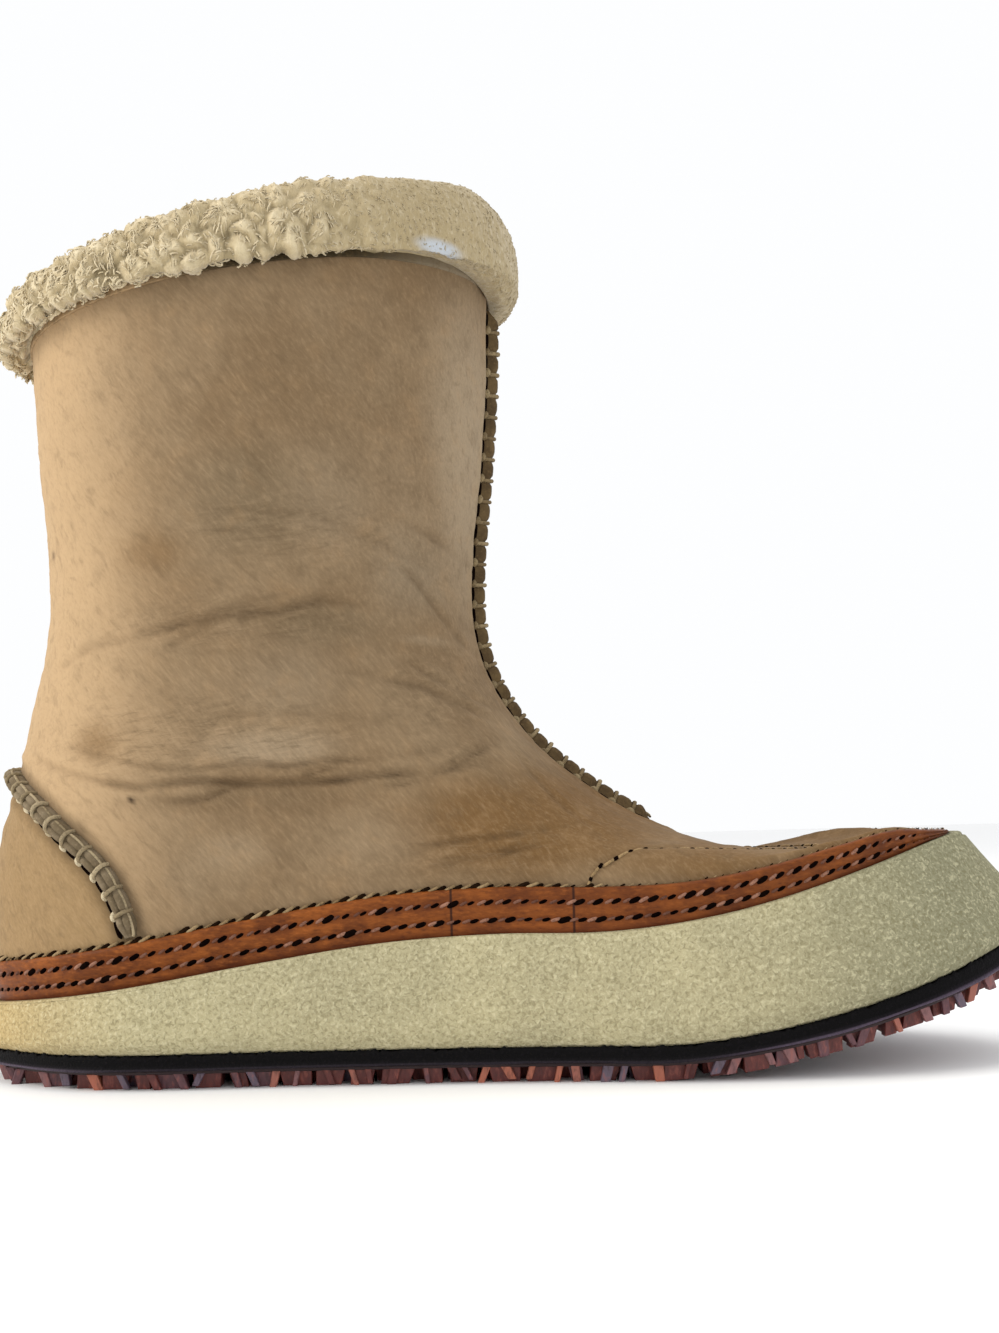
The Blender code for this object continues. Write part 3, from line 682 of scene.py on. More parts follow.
def buildLeather(material):
    u = turns(leather["columns"])
    levels = leatherRows(leather["rows"], 0.0, collar)
    outer = upperSurface(u[None, :], levels[:, None])
    normals = upperNormal(u[None, :], levels[:, None])
    flat = outer.reshape(-1, 3)
    relief, creaseShade = creaseRelief(flat)
    toeLine = toePath(0.0005)[0]
    raisedSeams = np.concatenate([upperSurface(*frontPath(500)), upperSurface(*counterPath(500))])
    fromSeam, fromToeSeam = distanceTo(flat, raisedSeams), distanceTo(flat, toeLine)
    free = softStep(levels, 1.05, 1.9)[:, None] * (1 - softStep(levels, collar - 0.9, collar)[:, None] * 0.7)
    free = np.broadcast_to(free, outer.shape[:2]).reshape(-1) * softStep(fromSeam, 0.0015, 0.0075)
    slack = crumple(flat, leather["slackSize"], 2) * leather["slack"]
    wrinkle = crumple(flat * (1, 1, 1.8), leather["wrinkleSize"], 3, 4.0) * leather["wrinkle"]
    lift = (relief + slack + wrinkle) * free
    beside = np.exp(-(((fromSeam - leather["rollAway"]) / 0.0016) ** 2))
    lift += beside * leather["roll"] * softStep(flat[:, 2], 0.0, 0.07)
    lift -= np.exp(-((fromToeSeam / 0.0009) ** 2)) * leather["toeGroove"]
    wrapped = np.minimum(u, 1 - u)[None, :] + 0 * levels[:, None]
    height = (flat[:, 2] - randTop(-form["length"] / 2)) / (form["collarBack"] - randTop(-form["length"] / 2))
    under = np.interp(wrapped.reshape(-1), counterRows[:, 0], counterRows[:, 1], right=-1.0) - height
    counter = softStep(under, -0.01, 0.01)
    moved = flat + normals.reshape(-1, 3) * lift[:, None]
    outer = moved.reshape(outer.shape)
    innerLevels = leatherRows(leather["liningRows"], 0.0, collar)[::-1]
    inner = [upperSurface(u, v) - form["wall"] * upperNormal(u, v) for v in innerLevels[:-1]]
    inner.append(besideUpper(u, 0.0, -form["wall"]))
    piece = ringMesh("upperLeather", [*outer, *inner], closed=True)
    fromHeel, fromFloor = flat[:, 0] * 1000 + form["length"] * 500, flat[:, 2] * 1000
    marks = {kind: np.zeros(len(flat)) for kind in stainAndShadeKinds}
    for kind, x, z, long, high, strength in stainsAndShade:
        shift = np.where(flat[:, 1] > 0.004, 9.0, 0.0)  # the outer side has its own places
        reach = ((fromHeel - x - shift) / long) ** 2 + ((fromFloor - z) / high) ** 2
        marks[kind] = np.maximum(marks[kind], strength * np.exp(-(reach ** 1.4)))
    # paler towards the heel's back: painted light on the lamp's side, with faded leather
    marks["heelLightAndFade"] = (1 - softStep(fromHeel, 22, 78)) * (1 - 0.5 * counter)
    marks["creaseShade"] = creaseShade * free
    marks["counter"] = counter
    marks["seamShade"] = np.exp(-((np.maximum(fromSeam - 0.0024, 0) / 0.0020) ** 2))
    marks["toeLine"] = np.exp(-((fromToeSeam / 0.0007) ** 2))
    for kind, values in marks.items():
        setAttribute(piece, kind, values)
    dress(piece, material, "nubuck", "upper")


def nubuck():
    material, place = startMaterial("nubuck", 0.92, 0.25)
    cloud = grain(place, 0.030, 3)
    mottle = grain(place, 0.008, 4, 0.6)
    streaks = grain(slanted(place, -0.7, 4.5), 0.0007, 4, 0.7)
    cross = grain(slanted(place, -0.35, 3.5), 0.0010, 3, 0.65)
    folds = grain(slanted(place, -0.75, 4.0), 0.0026, 3, 0.6, 0.4)
    ripples = grain(slanted(place, 1.45, 5.0), 0.0017, 3, 0.6, 0.5)
    fine = grain(place, 0.0004, 2, 0.6)
    uneven = 0.6 + cloud * 0.55 + mottle * 0.22
    base = blendColour(ramp(cloud, 0.35, 0.65), colour(*leather["light"]), colour(*leather["dark"]))
    tints = {
        # the first tint paints light and fading on the heel's back
        "heelLightAndFade": (178, 150, 114),
        "counter": (146, 120, 84),
        "ochre": (108, 80, 46),
        "brown": (117, 96, 70),
        "shade": (104, 89, 67),
        "grey": (132, 115, 92),
        "pale": (152, 134, 109),
    }
    stained = [(ramp(marked(place, kind) * uneven, 0.0, 0.95), tint) for kind, tint in tints.items()]
    base = layered(base, stained)
    blotch = 0.32 - marked(place, "heelLightAndFade") * 0.24
    rippled = marked(place, "ripple")
    base = layered(base, [
        (ramp(mottle, 0.5, 0.75) * blotch, (150, 122, 88)),
        (ramp(1 - mottle, 0.5, 0.75) * blotch, (98, 80, 57)),
        (ramp(streaks, 0.45, 0.8) * 0.2, (186, 160, 126)),
        (ramp(1 - streaks, 0.45, 0.8) * 0.22, (76, 60, 42)),
        (ramp(cross, 0.5, 0.8) * 0.12, (178, 150, 116)),
        # darker in the troughs of the folds and ripples, lighter on the ripples' crests: painted shade and
        # painted highlight over the bump
        (ramp(1 - folds, 0.5, 0.72) * (0.25 - rippled * 0.25), (88, 70, 48)),
        (ramp(1 - ripples, 0.5, 0.68) * rippled * 0.36, (82, 65, 45)),
        (ramp(ripples, 0.52, 0.72) * rippled * 0.25, (176, 150, 118)),
        # painted shade in the crease troughs
        (marked(place, "creaseShade") * 0.42, (78, 60, 40)),
        (marked(place, "seamShade") * 0.6, (72, 57, 38)),
        (marked(place, "toeLine") * 0.4, (92, 70, 44)),
        (marked(place, "spot"), (52, 38, 26)),
    ])
    small = raised(streaks * 0.5 + cross * 0.2 + fine * 0.3, 0.00014, strength=0.6)
    large = folds * (0.45 - rippled * 0.45) + ripples * rippled
    return finished(material, base, raised(large, 0.0009, small, 0.7))


buildLeather(nubuck())
print("leather upper built")

# the foam sole
foam = {"columns": 480, "wallRows": 40}


def buildMidsole(material):
    u = turns(foam["columns"])
    seat = levelOf(u, randSeat)
    far = 2 * form["gap"] + form["rand"]
    rings = [soleWall(u, h) for h in np.linspace(0, 0.96, foam["wallRows"])]
    top = soleWall(u, 1.0)
    edge = form["rimEdge"]
    for step in (0.0, 0.3, 0.6, 0.85, 1.0):
        away, below = (edge * (1 - turn(step * math.pi / 2)) for turn in (math.cos, math.sin))
        rings.append(pushed(top, -away, lambda x: rim(x) - below))
    rings += [
        besideUpper(u, levelOf(u, rim), far, rim),
        besideUpper(u, seat, far, randSeat),
        besideUpper(u, seat, form["gap"], randSeat),
        besideUpper(u, 0.0, form["gap"], footFloor),
    ]
    dress(ringMesh("midsoleFoam", rings, capped=True), material, "foam", "midsole")


def foamFinish():
    material, place = startMaterial("foam", 0.95, 0.15)
    worms = grain(place, 0.00095, 2, 0.5, 0.7)
    fine = grain(place, 0.0004, 2, 0.5)
    cloud = grain(place, 0.03, 3)
    along = axisOf(place, 0)
    base = blendColour(ramp(cloud, 0.35, 0.65), colour(176, 167, 132), colour(164, 156, 124))
    base = layered(base, [
        (1 - ramp(along, -0.145, -0.085), (180, 156, 108)),
        (ramp(along, 0.045, 0.115) * 0.9, (128, 126, 101)),
    ])
    relief = worms * 0.8 + fine * 0.2
    # darker in the crumb's pits and lighter on its crests: painted shade and painted highlight over the bump
    base = layered(base, [
        ((1 - ramp(relief, 0.34, 0.5)) * 0.42, (104, 95, 62)),
        (ramp(relief, 0.5, 0.68) * 0.35, (222, 214, 178)),
    ])
    return finished(material, base, raised(relief, 0.0009, strength=0.8))


buildMidsole(foamFinish())
print("foam sole built")

# Geometry Nodes: one kind of stitch, strand or lug on many points
def newTree(name, inputs):  # a geometry tree with named inputs; returns it with its group input and output
    tree = bpy.data.node_groups.new(name, "GeometryNodeTree")
    tree.interface.new_socket("Geometry", in_out="INPUT", socket_type="NodeSocketGeometry")
    for label, kind in inputs:
        tree.interface.new_socket(label, in_out="INPUT", socket_type=kind)
    tree.interface.new_socket("Geometry", in_out="OUTPUT", socket_type="NodeSocketGeometry")
    entry = tree.nodes.new("NodeGroupInput")
    ending = tree.nodes.new("NodeGroupOutput")
    return tree, {socket.name: Wire(socket) for socket in entry.outputs if socket.name}, ending


def run(piece, tree, values):  # sets a tree's inputs by identifier, runs it and leaves a plain mesh
    modifier = piece.modifiers.new(tree.name, "NODES")
    modifier.node_group = tree
    for item in tree.interface.items_tree:
        if item.item_type == "SOCKET" and item.in_out == "INPUT" and item.name in values:
            modifier[item.identifier] = values[item.name]
    graph = bpy.context.evaluated_depsgraph_get()
    made = bpy.data.meshes.new_from_object(piece.evaluated_get(graph))
    piece.modifiers.clear()
    piece.data = made
    return piece


def vectorOf(wire, name):  # a vector attribute on the points
    return wire.node("GeometryNodeInputNamedAttribute", {"data_type": "FLOAT_VECTOR"}, {"Name": name})


def numberOf(wire, name):
    return wire.node("GeometryNodeInputNamedAttribute", {"data_type": "FLOAT"}, {"Name": name})


def triple(wire, x=0.0, y=0.0, z=0.0):
    return wire.node("ShaderNodeCombineXYZ", {}, {0: x, 1: y, 2: z})


def bentRod(radius, sides, ends):  # a thin round rod along a bent line
    sockets = dict(zip(("Start", "Start Handle", "End Handle", "End"), ends))
    path = radius.node("GeometryNodeCurvePrimitiveBezierSegment", {}, {"Resolution": sides, **sockets})
    ring = radius.node("GeometryNodeCurvePrimitiveCircle", {}, {"Resolution": sides, "Radius": radius})
    return path.node("GeometryNodeCurveToMesh", {}, {"Curve": path, "Profile Curve": ring, "Fill Caps": True})


def anyNumber(seed, low, high):
    return seed.node("FunctionNodeRandomValue", {"data_type": "FLOAT"}, {2: low, 3: high, "Seed": seed}, 1)


def spread(given, shape, scale):  # copies of a shape on the points, turned by their attributes
    axes = {"primary_axis": "Z", "secondary_axis": "X"}
    sockets = {"Primary Axis": vectorOf(scale, "out"), "Secondary Axis": vectorOf(scale, "ahead")}
    turn = scale.node("FunctionNodeAxesToRotation", axes, sockets)
    placed = {"Points": given["Geometry"], "Instance": shape, "Rotation": turn}
    placed["Scale"] = triple(scale, scale, scale, scale)
    return scale.node("GeometryNodeInstanceOnPoints", {}, placed)


def solidify(copies, tint, given, smooth=True):  # stores the tint, makes the copies real and adds the finish
    kind = {"data_type": "FLOAT", "domain": "INSTANCE"}
    stored = {"Geometry": copies, "Name": "tint", "Value": tint}
    copies = copies.node("GeometryNodeStoreNamedAttribute", kind, stored)
    solid = copies.node("GeometryNodeRealizeInstances", {}, {"Geometry": copies})
    solid = solid.node("GeometryNodeSetShadeSmooth", {}, {"Geometry": solid, "Shade Smooth": smooth})
    return solid.node("GeometryNodeSetMaterial", {}, {"Geometry": solid, "Material": given["Finish"]})


def threadTree():  # a thread that arches from hole to hole at every point
    inputs = [(label, "NodeSocketFloat") for label in ("Reach", "Rise", "Dip", "Radius", "Variation")]
    inputs += [("Seed", "NodeSocketInt"), ("Finish", "NodeSocketMaterial")]
    tree, given, ending = newTree("thread", inputs)
    reach, rise, dip = given["Reach"], given["Rise"], given["Dip"]
    thread = bentRod(given["Radius"], 7, (
        triple(reach, reach * -1.0, 0.0, dip * -1.0),
        triple(reach, reach * -0.95, 0.0, rise * 1.25),
        triple(reach, reach * 0.95, 0.0, rise * 1.25),
        triple(reach, reach, 0.0, dip * -1.0),
    ))
    chance = anyNumber(given["Seed"], -1.0, 1.0)
    copies = spread(given, thread, numberOf(reach, "size") * (chance * given["Variation"] + 1.0))
    tree.links.new(solidify(copies, chance * 0.5 + 0.5, given).socket, ending.inputs["Geometry"])
    return tree


def strandTree():  # a short bent hair at every point
    inputs = [("Length", "NodeSocketFloat"), ("Radius", "NodeSocketFloat"), ("Seed", "NodeSocketInt")]
    tree, given, ending = newTree("strand", inputs + [("Finish", "NodeSocketMaterial")])
    long = given["Length"]
    hair = bentRod(given["Radius"], 3, (
        triple(long, 0.0, 0.0, long * -0.25),
        triple(long, long * -0.15, 0.0, long * 0.4),
        triple(long, long * 0.15, 0.0, long * 0.9),
        triple(long, long * 0.55, 0.0, long * 0.85),
    ))
    chance = anyNumber(given["Seed"], 0.0, 1.0)
    copies = spread(given, hair, numberOf(long, "size") * (chance * 0.6 + 0.7))
    tree.links.new(solidify(copies, chance, given).socket, ending.inputs["Geometry"])
    return tree


def pointCloud(name, places, **vectors):  # loose points with an attribute for each name given
    mesh = bpy.data.meshes.new(name)
    mesh.from_pydata(np.asarray(places).tolist(), [], [])
    for key, values in vectors.items():
        kind, field = ("FLOAT_VECTOR", "vector") if np.ndim(values) == 2 else ("FLOAT", "value")
        made = mesh.attributes.new(key, kind, "POINT").data
        made.foreach_set(field, np.asarray(values, np.float32).ravel())
    return addObject(name, mesh)


def evenly(path, pitch, closed=False):  # where along a dense path points at an even pitch lie
    steps = np.linalg.norm(np.diff(path, axis=0), axis=1)
    reach = np.concatenate([[0], np.cumsum(steps)])
    count = max(2, round(reach[-1] / pitch))
    wanted = np.linspace(0, reach[-1], count, endpoint=not closed)
    return np.interp(wanted, reach, np.arange(len(path)))


def pick(values, at):  # rows of an array at fractional places
    low = np.clip(np.floor(at).astype(int), 0, len(values) - 2)
    share = (at - low)[:, None]
    return values[low] * (1 - share) + values[low + 1] * share


def threadFinish(name, light, dark, gloss=0.3):
    material, place = startMaterial(name, 0.85, gloss)
    base = blendColour(marked(place, "tint"), colour(*dark), colour(*light))
    worn = ramp(grain(place, 0.0006, 3), 0.45, 0.7) * 0.5
    base = blendColour(worn, base, colour(*[c * 0.55 for c in dark]))
    return finished(material, base, raised(grain(place, 0.00035, 2), 0.00015))


thread, strand = threadTree(), strandTree()

# the brown leather rand with its two rows of stitches
rand = {
    "columns": 700,
    "pitch": 0.0045,
    "rows": (0.31, 0.70),  # stitch rows as shares of what shows, from the top
    "whipPitch": 0.0041,
    "whipLift": 0.0004,
    "groove": 0.00035,
    "grooveWidth": 0.0011,
    "joints": (-0.0126, 0.0177),  # butt joints on the inner side, along X
    "toePitch": 0.0041,
    # threads, and the dark shapes that paint the shade in the stitch holes: half length, rise, dip and radius
    "stitch": (0.0011, 0.0004, 0.0004, 0.0004),
    "hole": (0.0011, 0.00005, 0.0003, 0.00074),
    "whip": (0.0014, 0.0004, 0.0004, 0.00036),
    "whipHoleShade": (0.0009, 0.0002, 0.0003, 0.00056),
    "toeStitch": (0.0015, 0.0003, 0.00035, 0.00036),
    "toeHole": (0.0004, 0.0001, 0.0002, 0.00048),
}


def randFace(u, share, outside):  # the rand's outer face; share 0 at its top edge, 1 at the midsole's rim
    lower = besideUpper(u, levelOf(u, rim), form["gap"] + form["rand"], rim)
    upper = besideUpper(u, 1.0, form["gap"] + form["rand"], randTop)
    points = upper + (lower - upper) * share
    out = unit(besideUpper(u, 1.0, 0.001) - besideUpper(u, 1.0, 0.0))
    return points + out * outside, out


def buildRand(material):
    u = turns(rand["columns"])
    seat = levelOf(u, randSeat)
    near, far = form["gap"], form["gap"] + form["rand"]
    rings = [besideUpper(u, seat, away, lambda x: randSeat(x) + form["gap"]) for away in (near, far)]
    shares = np.linspace(1.0, 0.0, 26)
    for share in shares:
        puff = 0.00025 * math.sin(math.pi * share)
        sink = sum(math.exp(-(((share - row) * 0.0095 / rand["grooveWidth"]) ** 2)) for row in rand["rows"])
        rounded = 0.0006 * math.exp(-share / 0.04)
        rings.append(randFace(u, share, puff - rand["groove"] * sink - rounded)[0])
    inner, top = (besideUpper(u, 1.0, away, randTop) for away in (near, far))
    rings += [inner + (top - inner) * 0.4 + np.array([0, 0, 0.0002]), inner]
    piece = ringMesh("randLeather", rings, closed=True)
    # painted shade in the stitch channels, and darker towards the midsole's rim
    channelShade = sum(np.exp(-(((shares - row) / 0.09) ** 2)) for row in rand["rows"])
    edge = [1.0, 1.0, *np.clip(softStep(shares, 0.80, 1.0) + channelShade * 0.55, 0, 1), 0.3, 0.3]
    setAttribute(piece, "edge", np.repeat(edge, len(u)))
    dress(piece, material, "rand_leather", "rand")


def stitchPlaces(path, out, pitch, slant, closed=False):  # even places along a path, with their directions
    if closed:
        path, out = np.concatenate([path, path[:1]]), np.concatenate([out, out[:1]])
    at = evenly(path, pitch, closed)
    place, facing = pick(path, at), unit(pick(out, at))
    last = len(path) - 1
    ahead = unit(pick(path, np.minimum(at + 2, last)) - pick(path, np.maximum(at - 2, 0)))
    across = unit(np.cross(facing, ahead))
    return place, facing, ahead, unit(ahead + across * slant)


def sew(name, groups, sizes, material, slot="seam_leather", variation=0.15, seed=3):
    # one mesh of threads, from groups of place, outward, ahead and size
    place, facing, ahead, size = (np.concatenate([group[k] for group in groups]) for k in range(4))
    values = dict(zip(("Reach", "Rise", "Dip", "Radius"), sizes))
    values.update({"Variation": variation, "Seed": seed, "Finish": material})
    dress(run(pointCloud(name, place, out=facing, ahead=ahead, size=size), thread, values), None, slot)


def sewRand(threadMaterial, holeShadeMaterial):
    holes, beads = [], []
    chance = np.random.default_rng(5)
    for order, share in enumerate(rand["rows"]):
        path, out = randFace(turns(2400), share, -rand["groove"] * 0.6)
        place, facing, ahead, leaning = stitchPlaces(path, out, rand["pitch"], 0.3 if order else 0.45, True)
        narrow = np.clip((randTop(place[:, 0]) - rim(place[:, 0])) / 0.008, 0.35, 1)
        wander = chance.normal(size=(len(place), 1)) * 0.00022
        beads.append((place + ahead * (0.0011 + wander) - facing * 0.0001, facing, leaning, narrow))
        wide = narrow * chance.uniform(0.8, 1.15, len(place))
        holes.append((place - ahead * 0.0009 - facing * 0.0002, facing, leaning, wide))
    sew("randStitches", beads, rand["stitch"], threadMaterial, "rand_leather")
    sew("randHoles", holes, rand["hole"], holeShadeMaterial, "rand_leather")


def sewWhipRow(threadMaterial, holeShadeMaterial):  # small slanted stitches that hold the upper to the rand
    u = turns(2400)
    path = besideUpper(u, 1.0, 0.0009)
    path[:, 2] += rand["whipLift"]
    out = unit(besideUpper(u, 1.0, 0.001) - besideUpper(u, 1.0, 0.0))
    place, facing, ahead, leaning = stitchPlaces(path, out, rand["whipPitch"], 0.4, True)
    size = 0.25 + 0.75 * (1 - softStep(place[:, 0], 0.0, 0.045))
    sew("whipStitches", [(place, facing, leaning, size)], rand["whip"], threadMaterial, variation=0.3)
    holes = (place + ahead * rand["whipPitch"] * 0.5 - facing * 0.0003, facing, leaning, size)
    sew("whipHoles", [holes], rand["whipHoleShade"], holeShadeMaterial, variation=0.4)


def sewToeSeam(threadMaterial, holeShadeMaterial):
    place, facing, ahead, leaning = stitchPlaces(*toePath(0.0005), rand["toePitch"], 0.06)
    ones = np.ones(len(place))
    stitches = (place - facing * 0.0002, facing, leaning, ones)
    sew("toeStitches", [stitches], rand["toeStitch"], threadMaterial)
    holes = (place + ahead * rand["toePitch"] / 2 - facing * 0.0003, facing, ahead, ones)
    sew("toeHoles", [holes], rand["toeHole"], holeShadeMaterial)


def randFinish():
    material, place = startMaterial("rand leather", 0.5, 0.14)
    cloud = grain(place, 0.012, 4, 0.6)
    fibre = grain(turned(place, (0, 0, 0), (0.5, 0.5, 1.6)), 0.0012, 4, 0.65)
    base = blendColour(ramp(cloud, 0.35, 0.68), colour(98, 50, 17), colour(134, 73, 26))
    along, side = axisOf(place, 0), axisOf(place, 1)
    base = layered(base, [
        (ramp(fibre, 0.5, 0.72) * 0.5, (160, 92, 40)),
        (ramp(1 - fibre, 0.48, 0.75) * 0.6, (62, 26, 9)),
        # edge: painted shade in the stitch channels, darker towards the rim
        (marked(place, "edge") * 0.65, (70, 26, 10)),
        (ramp(along, -0.06, 0.06) * 0.35, (84, 40, 15)),
    ])
    for joint in rand["joints"]:
        apart = along - joint
        line = (1 - ramp(apart.math("ABSOLUTE", apart), 0.0001, 0.0005)) * side.math("LESS_THAN", side, 0.0)
        base = blendColour(line * 0.9, base, colour(40, 18, 10))
    return finished(material, base, raised(fibre, 0.00025, strength=0.7), 0.42 + fibre * 0.25)


buildRand(randFinish())
# near-black shapes in the stitch holes: painted shade of the holes
stitchHoleShade = threadFinish("stitch hole shade", (16, 9, 7), (8, 4, 4), 0.0)
sewRand(threadFinish("rand thread", (150, 108, 88), (86, 52, 38)), stitchHoleShade)
# near-black shapes in the whip stitches' holes: painted shade
whipHoleShade = threadFinish("whip hole shade", (34, 22, 13), (20, 12, 7), 0.0)
sewWhipRow(threadFinish("whip thread", (156, 132, 96), (112, 90, 60)), whipHoleShade)
sewToeSeam(threadFinish("toe thread", (152, 126, 88), (120, 96, 64)), stitchHoleShade)
print("rand built")

# raised seams: a lip of two leather edges under cross stitches
seam = {
    "width": 0.0044,
    "height": 0.0036,
    "pinch": 0.28,  # how much the cross stitches draw the lip in
    "thread": 0.00056,
    "frontPitch": 0.0058,
    "heelPitch": 0.0061,
}
# half of the lip's section, from its foot to its middle: shares of its width and height
lipSection = (
    (-0.62, -0.10), (-0.50, 0.20), (-0.44, 0.62), (-0.34, 0.90), (-0.18, 1.00), (-0.06, 0.93), (0.0, 0.76),
)


def buildSeam(name, path, pitch, slotNode, lipMaterial, threadMaterial, knotMaterial):
    u, v = path(900)
    centre, out = upperSurface(u, v), upperNormal(u, v)
    ahead = unit(np.gradient(centre, axis=0))
    side = unit(np.cross(ahead, out))
    reach = np.concatenate([[0], np.cumsum(np.linalg.norm(np.diff(centre, axis=0), axis=1))])
    count = max(2, round(reach[-1] / pitch))
    step = reach[-1] / count
    pinched = 1 - seam["pinch"] * np.cos(math.pi * reach / step) ** 6
    ends = np.minimum(softStep(reach, -0.0005, 0.004), softStep(reach[-1] - reach, -0.0005, 0.004))
    width, height, thick = seam["width"], seam["height"], seam["thread"]
    section = [*lipSection, *((-across, up) for across, up in lipSection[-2::-1])]
    rings = []
    for i in np.linspace(0, len(centre) - 1, 8 * count + 1).round().astype(int):
        full = pinched[i] * (0.35 + 0.65 * ends[i])
        rings.append([
            centre[i] + across * width * (0.5 + 0.5 * full) * side[i] + up * height * full * out[i]
            for across, up in section
        ])
    dress(ringMesh(name, rings, capped=True), lipMaterial, "seam_leather", slotNode)

    def framesAt(wanted):
        at = np.interp(wanted, reach, np.arange(len(reach)))
        return *(pick(values, at) for values in (centre, out, ahead, side)), np.ones(len(wanted))

    place, facing, forward, across, ones = framesAt(np.arange(1, count) * step)
    crosses = (place, facing, unit(across + forward * 0.18), ones)
    sizes = (width * 0.53, height * 1.06, 0.0003, thick)
    sew(name + "Stitches", [crosses], sizes, threadMaterial, variation=0.04, seed=8)
    knots = place - across * width * 0.56 + facing * 0.0004
    knots = (knots, unit(facing - across), unit(forward + across * 0.6), ones)
    sew(name + "Knots", [knots], (0.0006, 0.0004, 0.0003, thick * 1.4), knotMaterial)
    place, facing, forward, across, ones = framesAt(np.arange(count) * step + step / 2)
    loops = place + across * width * 0.42 + facing * height * 0.62
    loops = (loops, unit(across + facing), forward, ones)
    sew(name + "Loops", [loops], (step * 0.42, 0.0003, 0.0006, thick * 0.62), threadMaterial)
    # dark shapes at the lip's foot: painted shade where the stitches go in
    pitShades = (place - across * width * 0.58 + facing * 0.0001, unit(facing - across), forward, ones)
    sew(name + "PitShades", [pitShades], (step * 0.33, 0.0002, 0.0003, 0.0006), stitchHoleShade)


def lipFinish(name, light, dark):
    material, place = startMaterial(name, 0.9, 0.25)
    cloud = grain(place, 0.006, 3)
    fibre = grain(place, 0.0007, 3, 0.6)
    base = blendColour(ramp(cloud, 0.35, 0.65), colour(*light), colour(*dark))
    base = blendColour(ramp(fibre, 0.5, 0.8) * 0.4, base, colour(*[c * 1.3 for c in light]))
    return finished(material, base, raised(fibre, 0.0002, strength=0.7))


frontLip = lipFinish("front seam leather", (96, 78, 50), (74, 58, 36))
heelLip = lipFinish("heel seam leather", (126, 112, 90), (102, 88, 66))
frontThread = threadFinish("front seam thread", (142, 124, 92), (108, 90, 62))
heelThread = threadFinish("heel seam thread", (164, 148, 118), (124, 108, 80))
knotThread = threadFinish("heel seam knots", (202, 188, 158), (176, 160, 128))
buildSeam("frontSeam", frontPath, seam["frontPitch"], "front_seam", frontLip, frontThread, frontThread)
buildSeam("heelSeam", counterPath, seam["heelPitch"], "heel_seam", heelLip, heelThread, knotThread)
print("raised seams sewn")

# the fleece: a curly roll over the collar's edge
fleece = {
    "columns": 600,
    "rows": 92,
    "backOutside": 0.0066,  # how far the roll stands outside the leather
    "outside": 0.0080,
    "sideOutside": 0.0036,
    "inside": 0.0095,
    "backRise": 0.0104,
    "frontRise": 0.0208,
    "drop": 0.0036,  # below the leather's edge in front; over it at the sides and the back
    "sideDrop": -0.0016,
    "liningDrop": 0.0130,
    "liningReach": 0.0076,
    "tuft": 0.0050,
    "tuftHeight": 0.0021,
    "nap": 0.0003,
    "curl": 0.0008,
    "smoothFrom": -0.050,  # along X, where the curls give way to a short smooth nap
    "smoothTo": -0.014,
    "strands": 5600,
    "strandsInside": 3200,
    "strandLength": 0.0013,
    "strandRadius": 0.00021,
}
# section of the roll: share of its reach outside (over 0) or inside the leather, share of its rise or drop
rollSection = np.array([
    (0.04, -0.90), (0.60, -1.00), (0.97, -0.25), (1.00, 0.24), (0.88, 0.56),
    (0.56, 0.84), (0.10, 1.00), (-0.45, 0.95), (-0.85, 0.68), (-1.00, 0.24),
])


def rollGrid():  # the roll's smooth skin as rows of points, with the height of each above the leather's edge
    u = turns(fleece["columns"])
    edge, out = upperSurface(u, collar), upperNormal(u, collar)
    up = unit(edge - upperSurface(u, collar - 0.5))
    ends = np.cos(2 * math.pi * u) ** 2
    front = np.cos(2 * math.pi * u) < 0
    outside = mixed(fleece["sideOutside"], np.where(front, fleece["outside"], fleece["backOutside"]), ends)
    drop = mixed(fleece["sideDrop"], fleece["drop"], front * ends**4)
    height = mixed(fleece["backRise"], fleece["frontRise"], (1 - np.cos(2 * math.pi * u)) / 2)
    innerFace = -(form["wall"] + form["gap"])
    knots = np.arange(len(rollSection))
    rows, rises = [], []
    for t in np.linspace(0, len(rollSection) - 1, fleece["rows"]):
        reach, rise = (float(readTable(knots, column, t)) for column in rollSection.T)
        inside = innerFace * min(1, -2 * reach) + reach * fleece["inside"]
        across = form["gap"] + reach * outside if reach > 0 else np.full(len(u), inside)
        rises.append(rise * (height if rise > 0 else drop))
        rows.append(edge + across[:, None] * out + rises[-1][:, None] * up)
    low = innerFace - fleece["liningReach"]
    for share in np.linspace(0.15, 1.0, 10):
        inside = innerFace - fleece["inside"] + (low - innerFace + fleece["inside"]) * share
        rise = 0.24 * height + (-fleece["liningDrop"] - 0.24 * height) * share
        rises.append(rise)
        rows.append(edge + inside * out + rise[:, None] * up)
    back = []
    gap = form["gap"]
    for across, rise in ((innerFace, -fleece["liningDrop"]), (innerFace, gap), (gap, gap)):
        back.append(edge + across * out + rise * up)
    return np.array(rows), np.array(rises), back


def curl(points, tuft):  # domes of curly tufts over a skin: their height and the middle of each one's cell
    warp = np.stack([crumple(points, 0.006, 2, seed) for seed in (1.0, 5.0, 9.0)], axis=1)
    stretched = (points + warp * 0.0022) * (1, 1, 0.62)
    cells = [noise.voronoi(Vector(p) / tuft) for p in stretched]
    near = np.array([cell[0][:2] for cell in cells])
    middle = np.array([cell[1][0] for cell in cells]) * tuft / (1, 1, 0.62)
    dome = np.clip(1.1 - 1.15 * near[:, 0] ** 1.5, 0, 1)
    return dome * (0.55 + 0.45 * softStep(near[:, 1] - near[:, 0], 0.0, 0.3)), middle


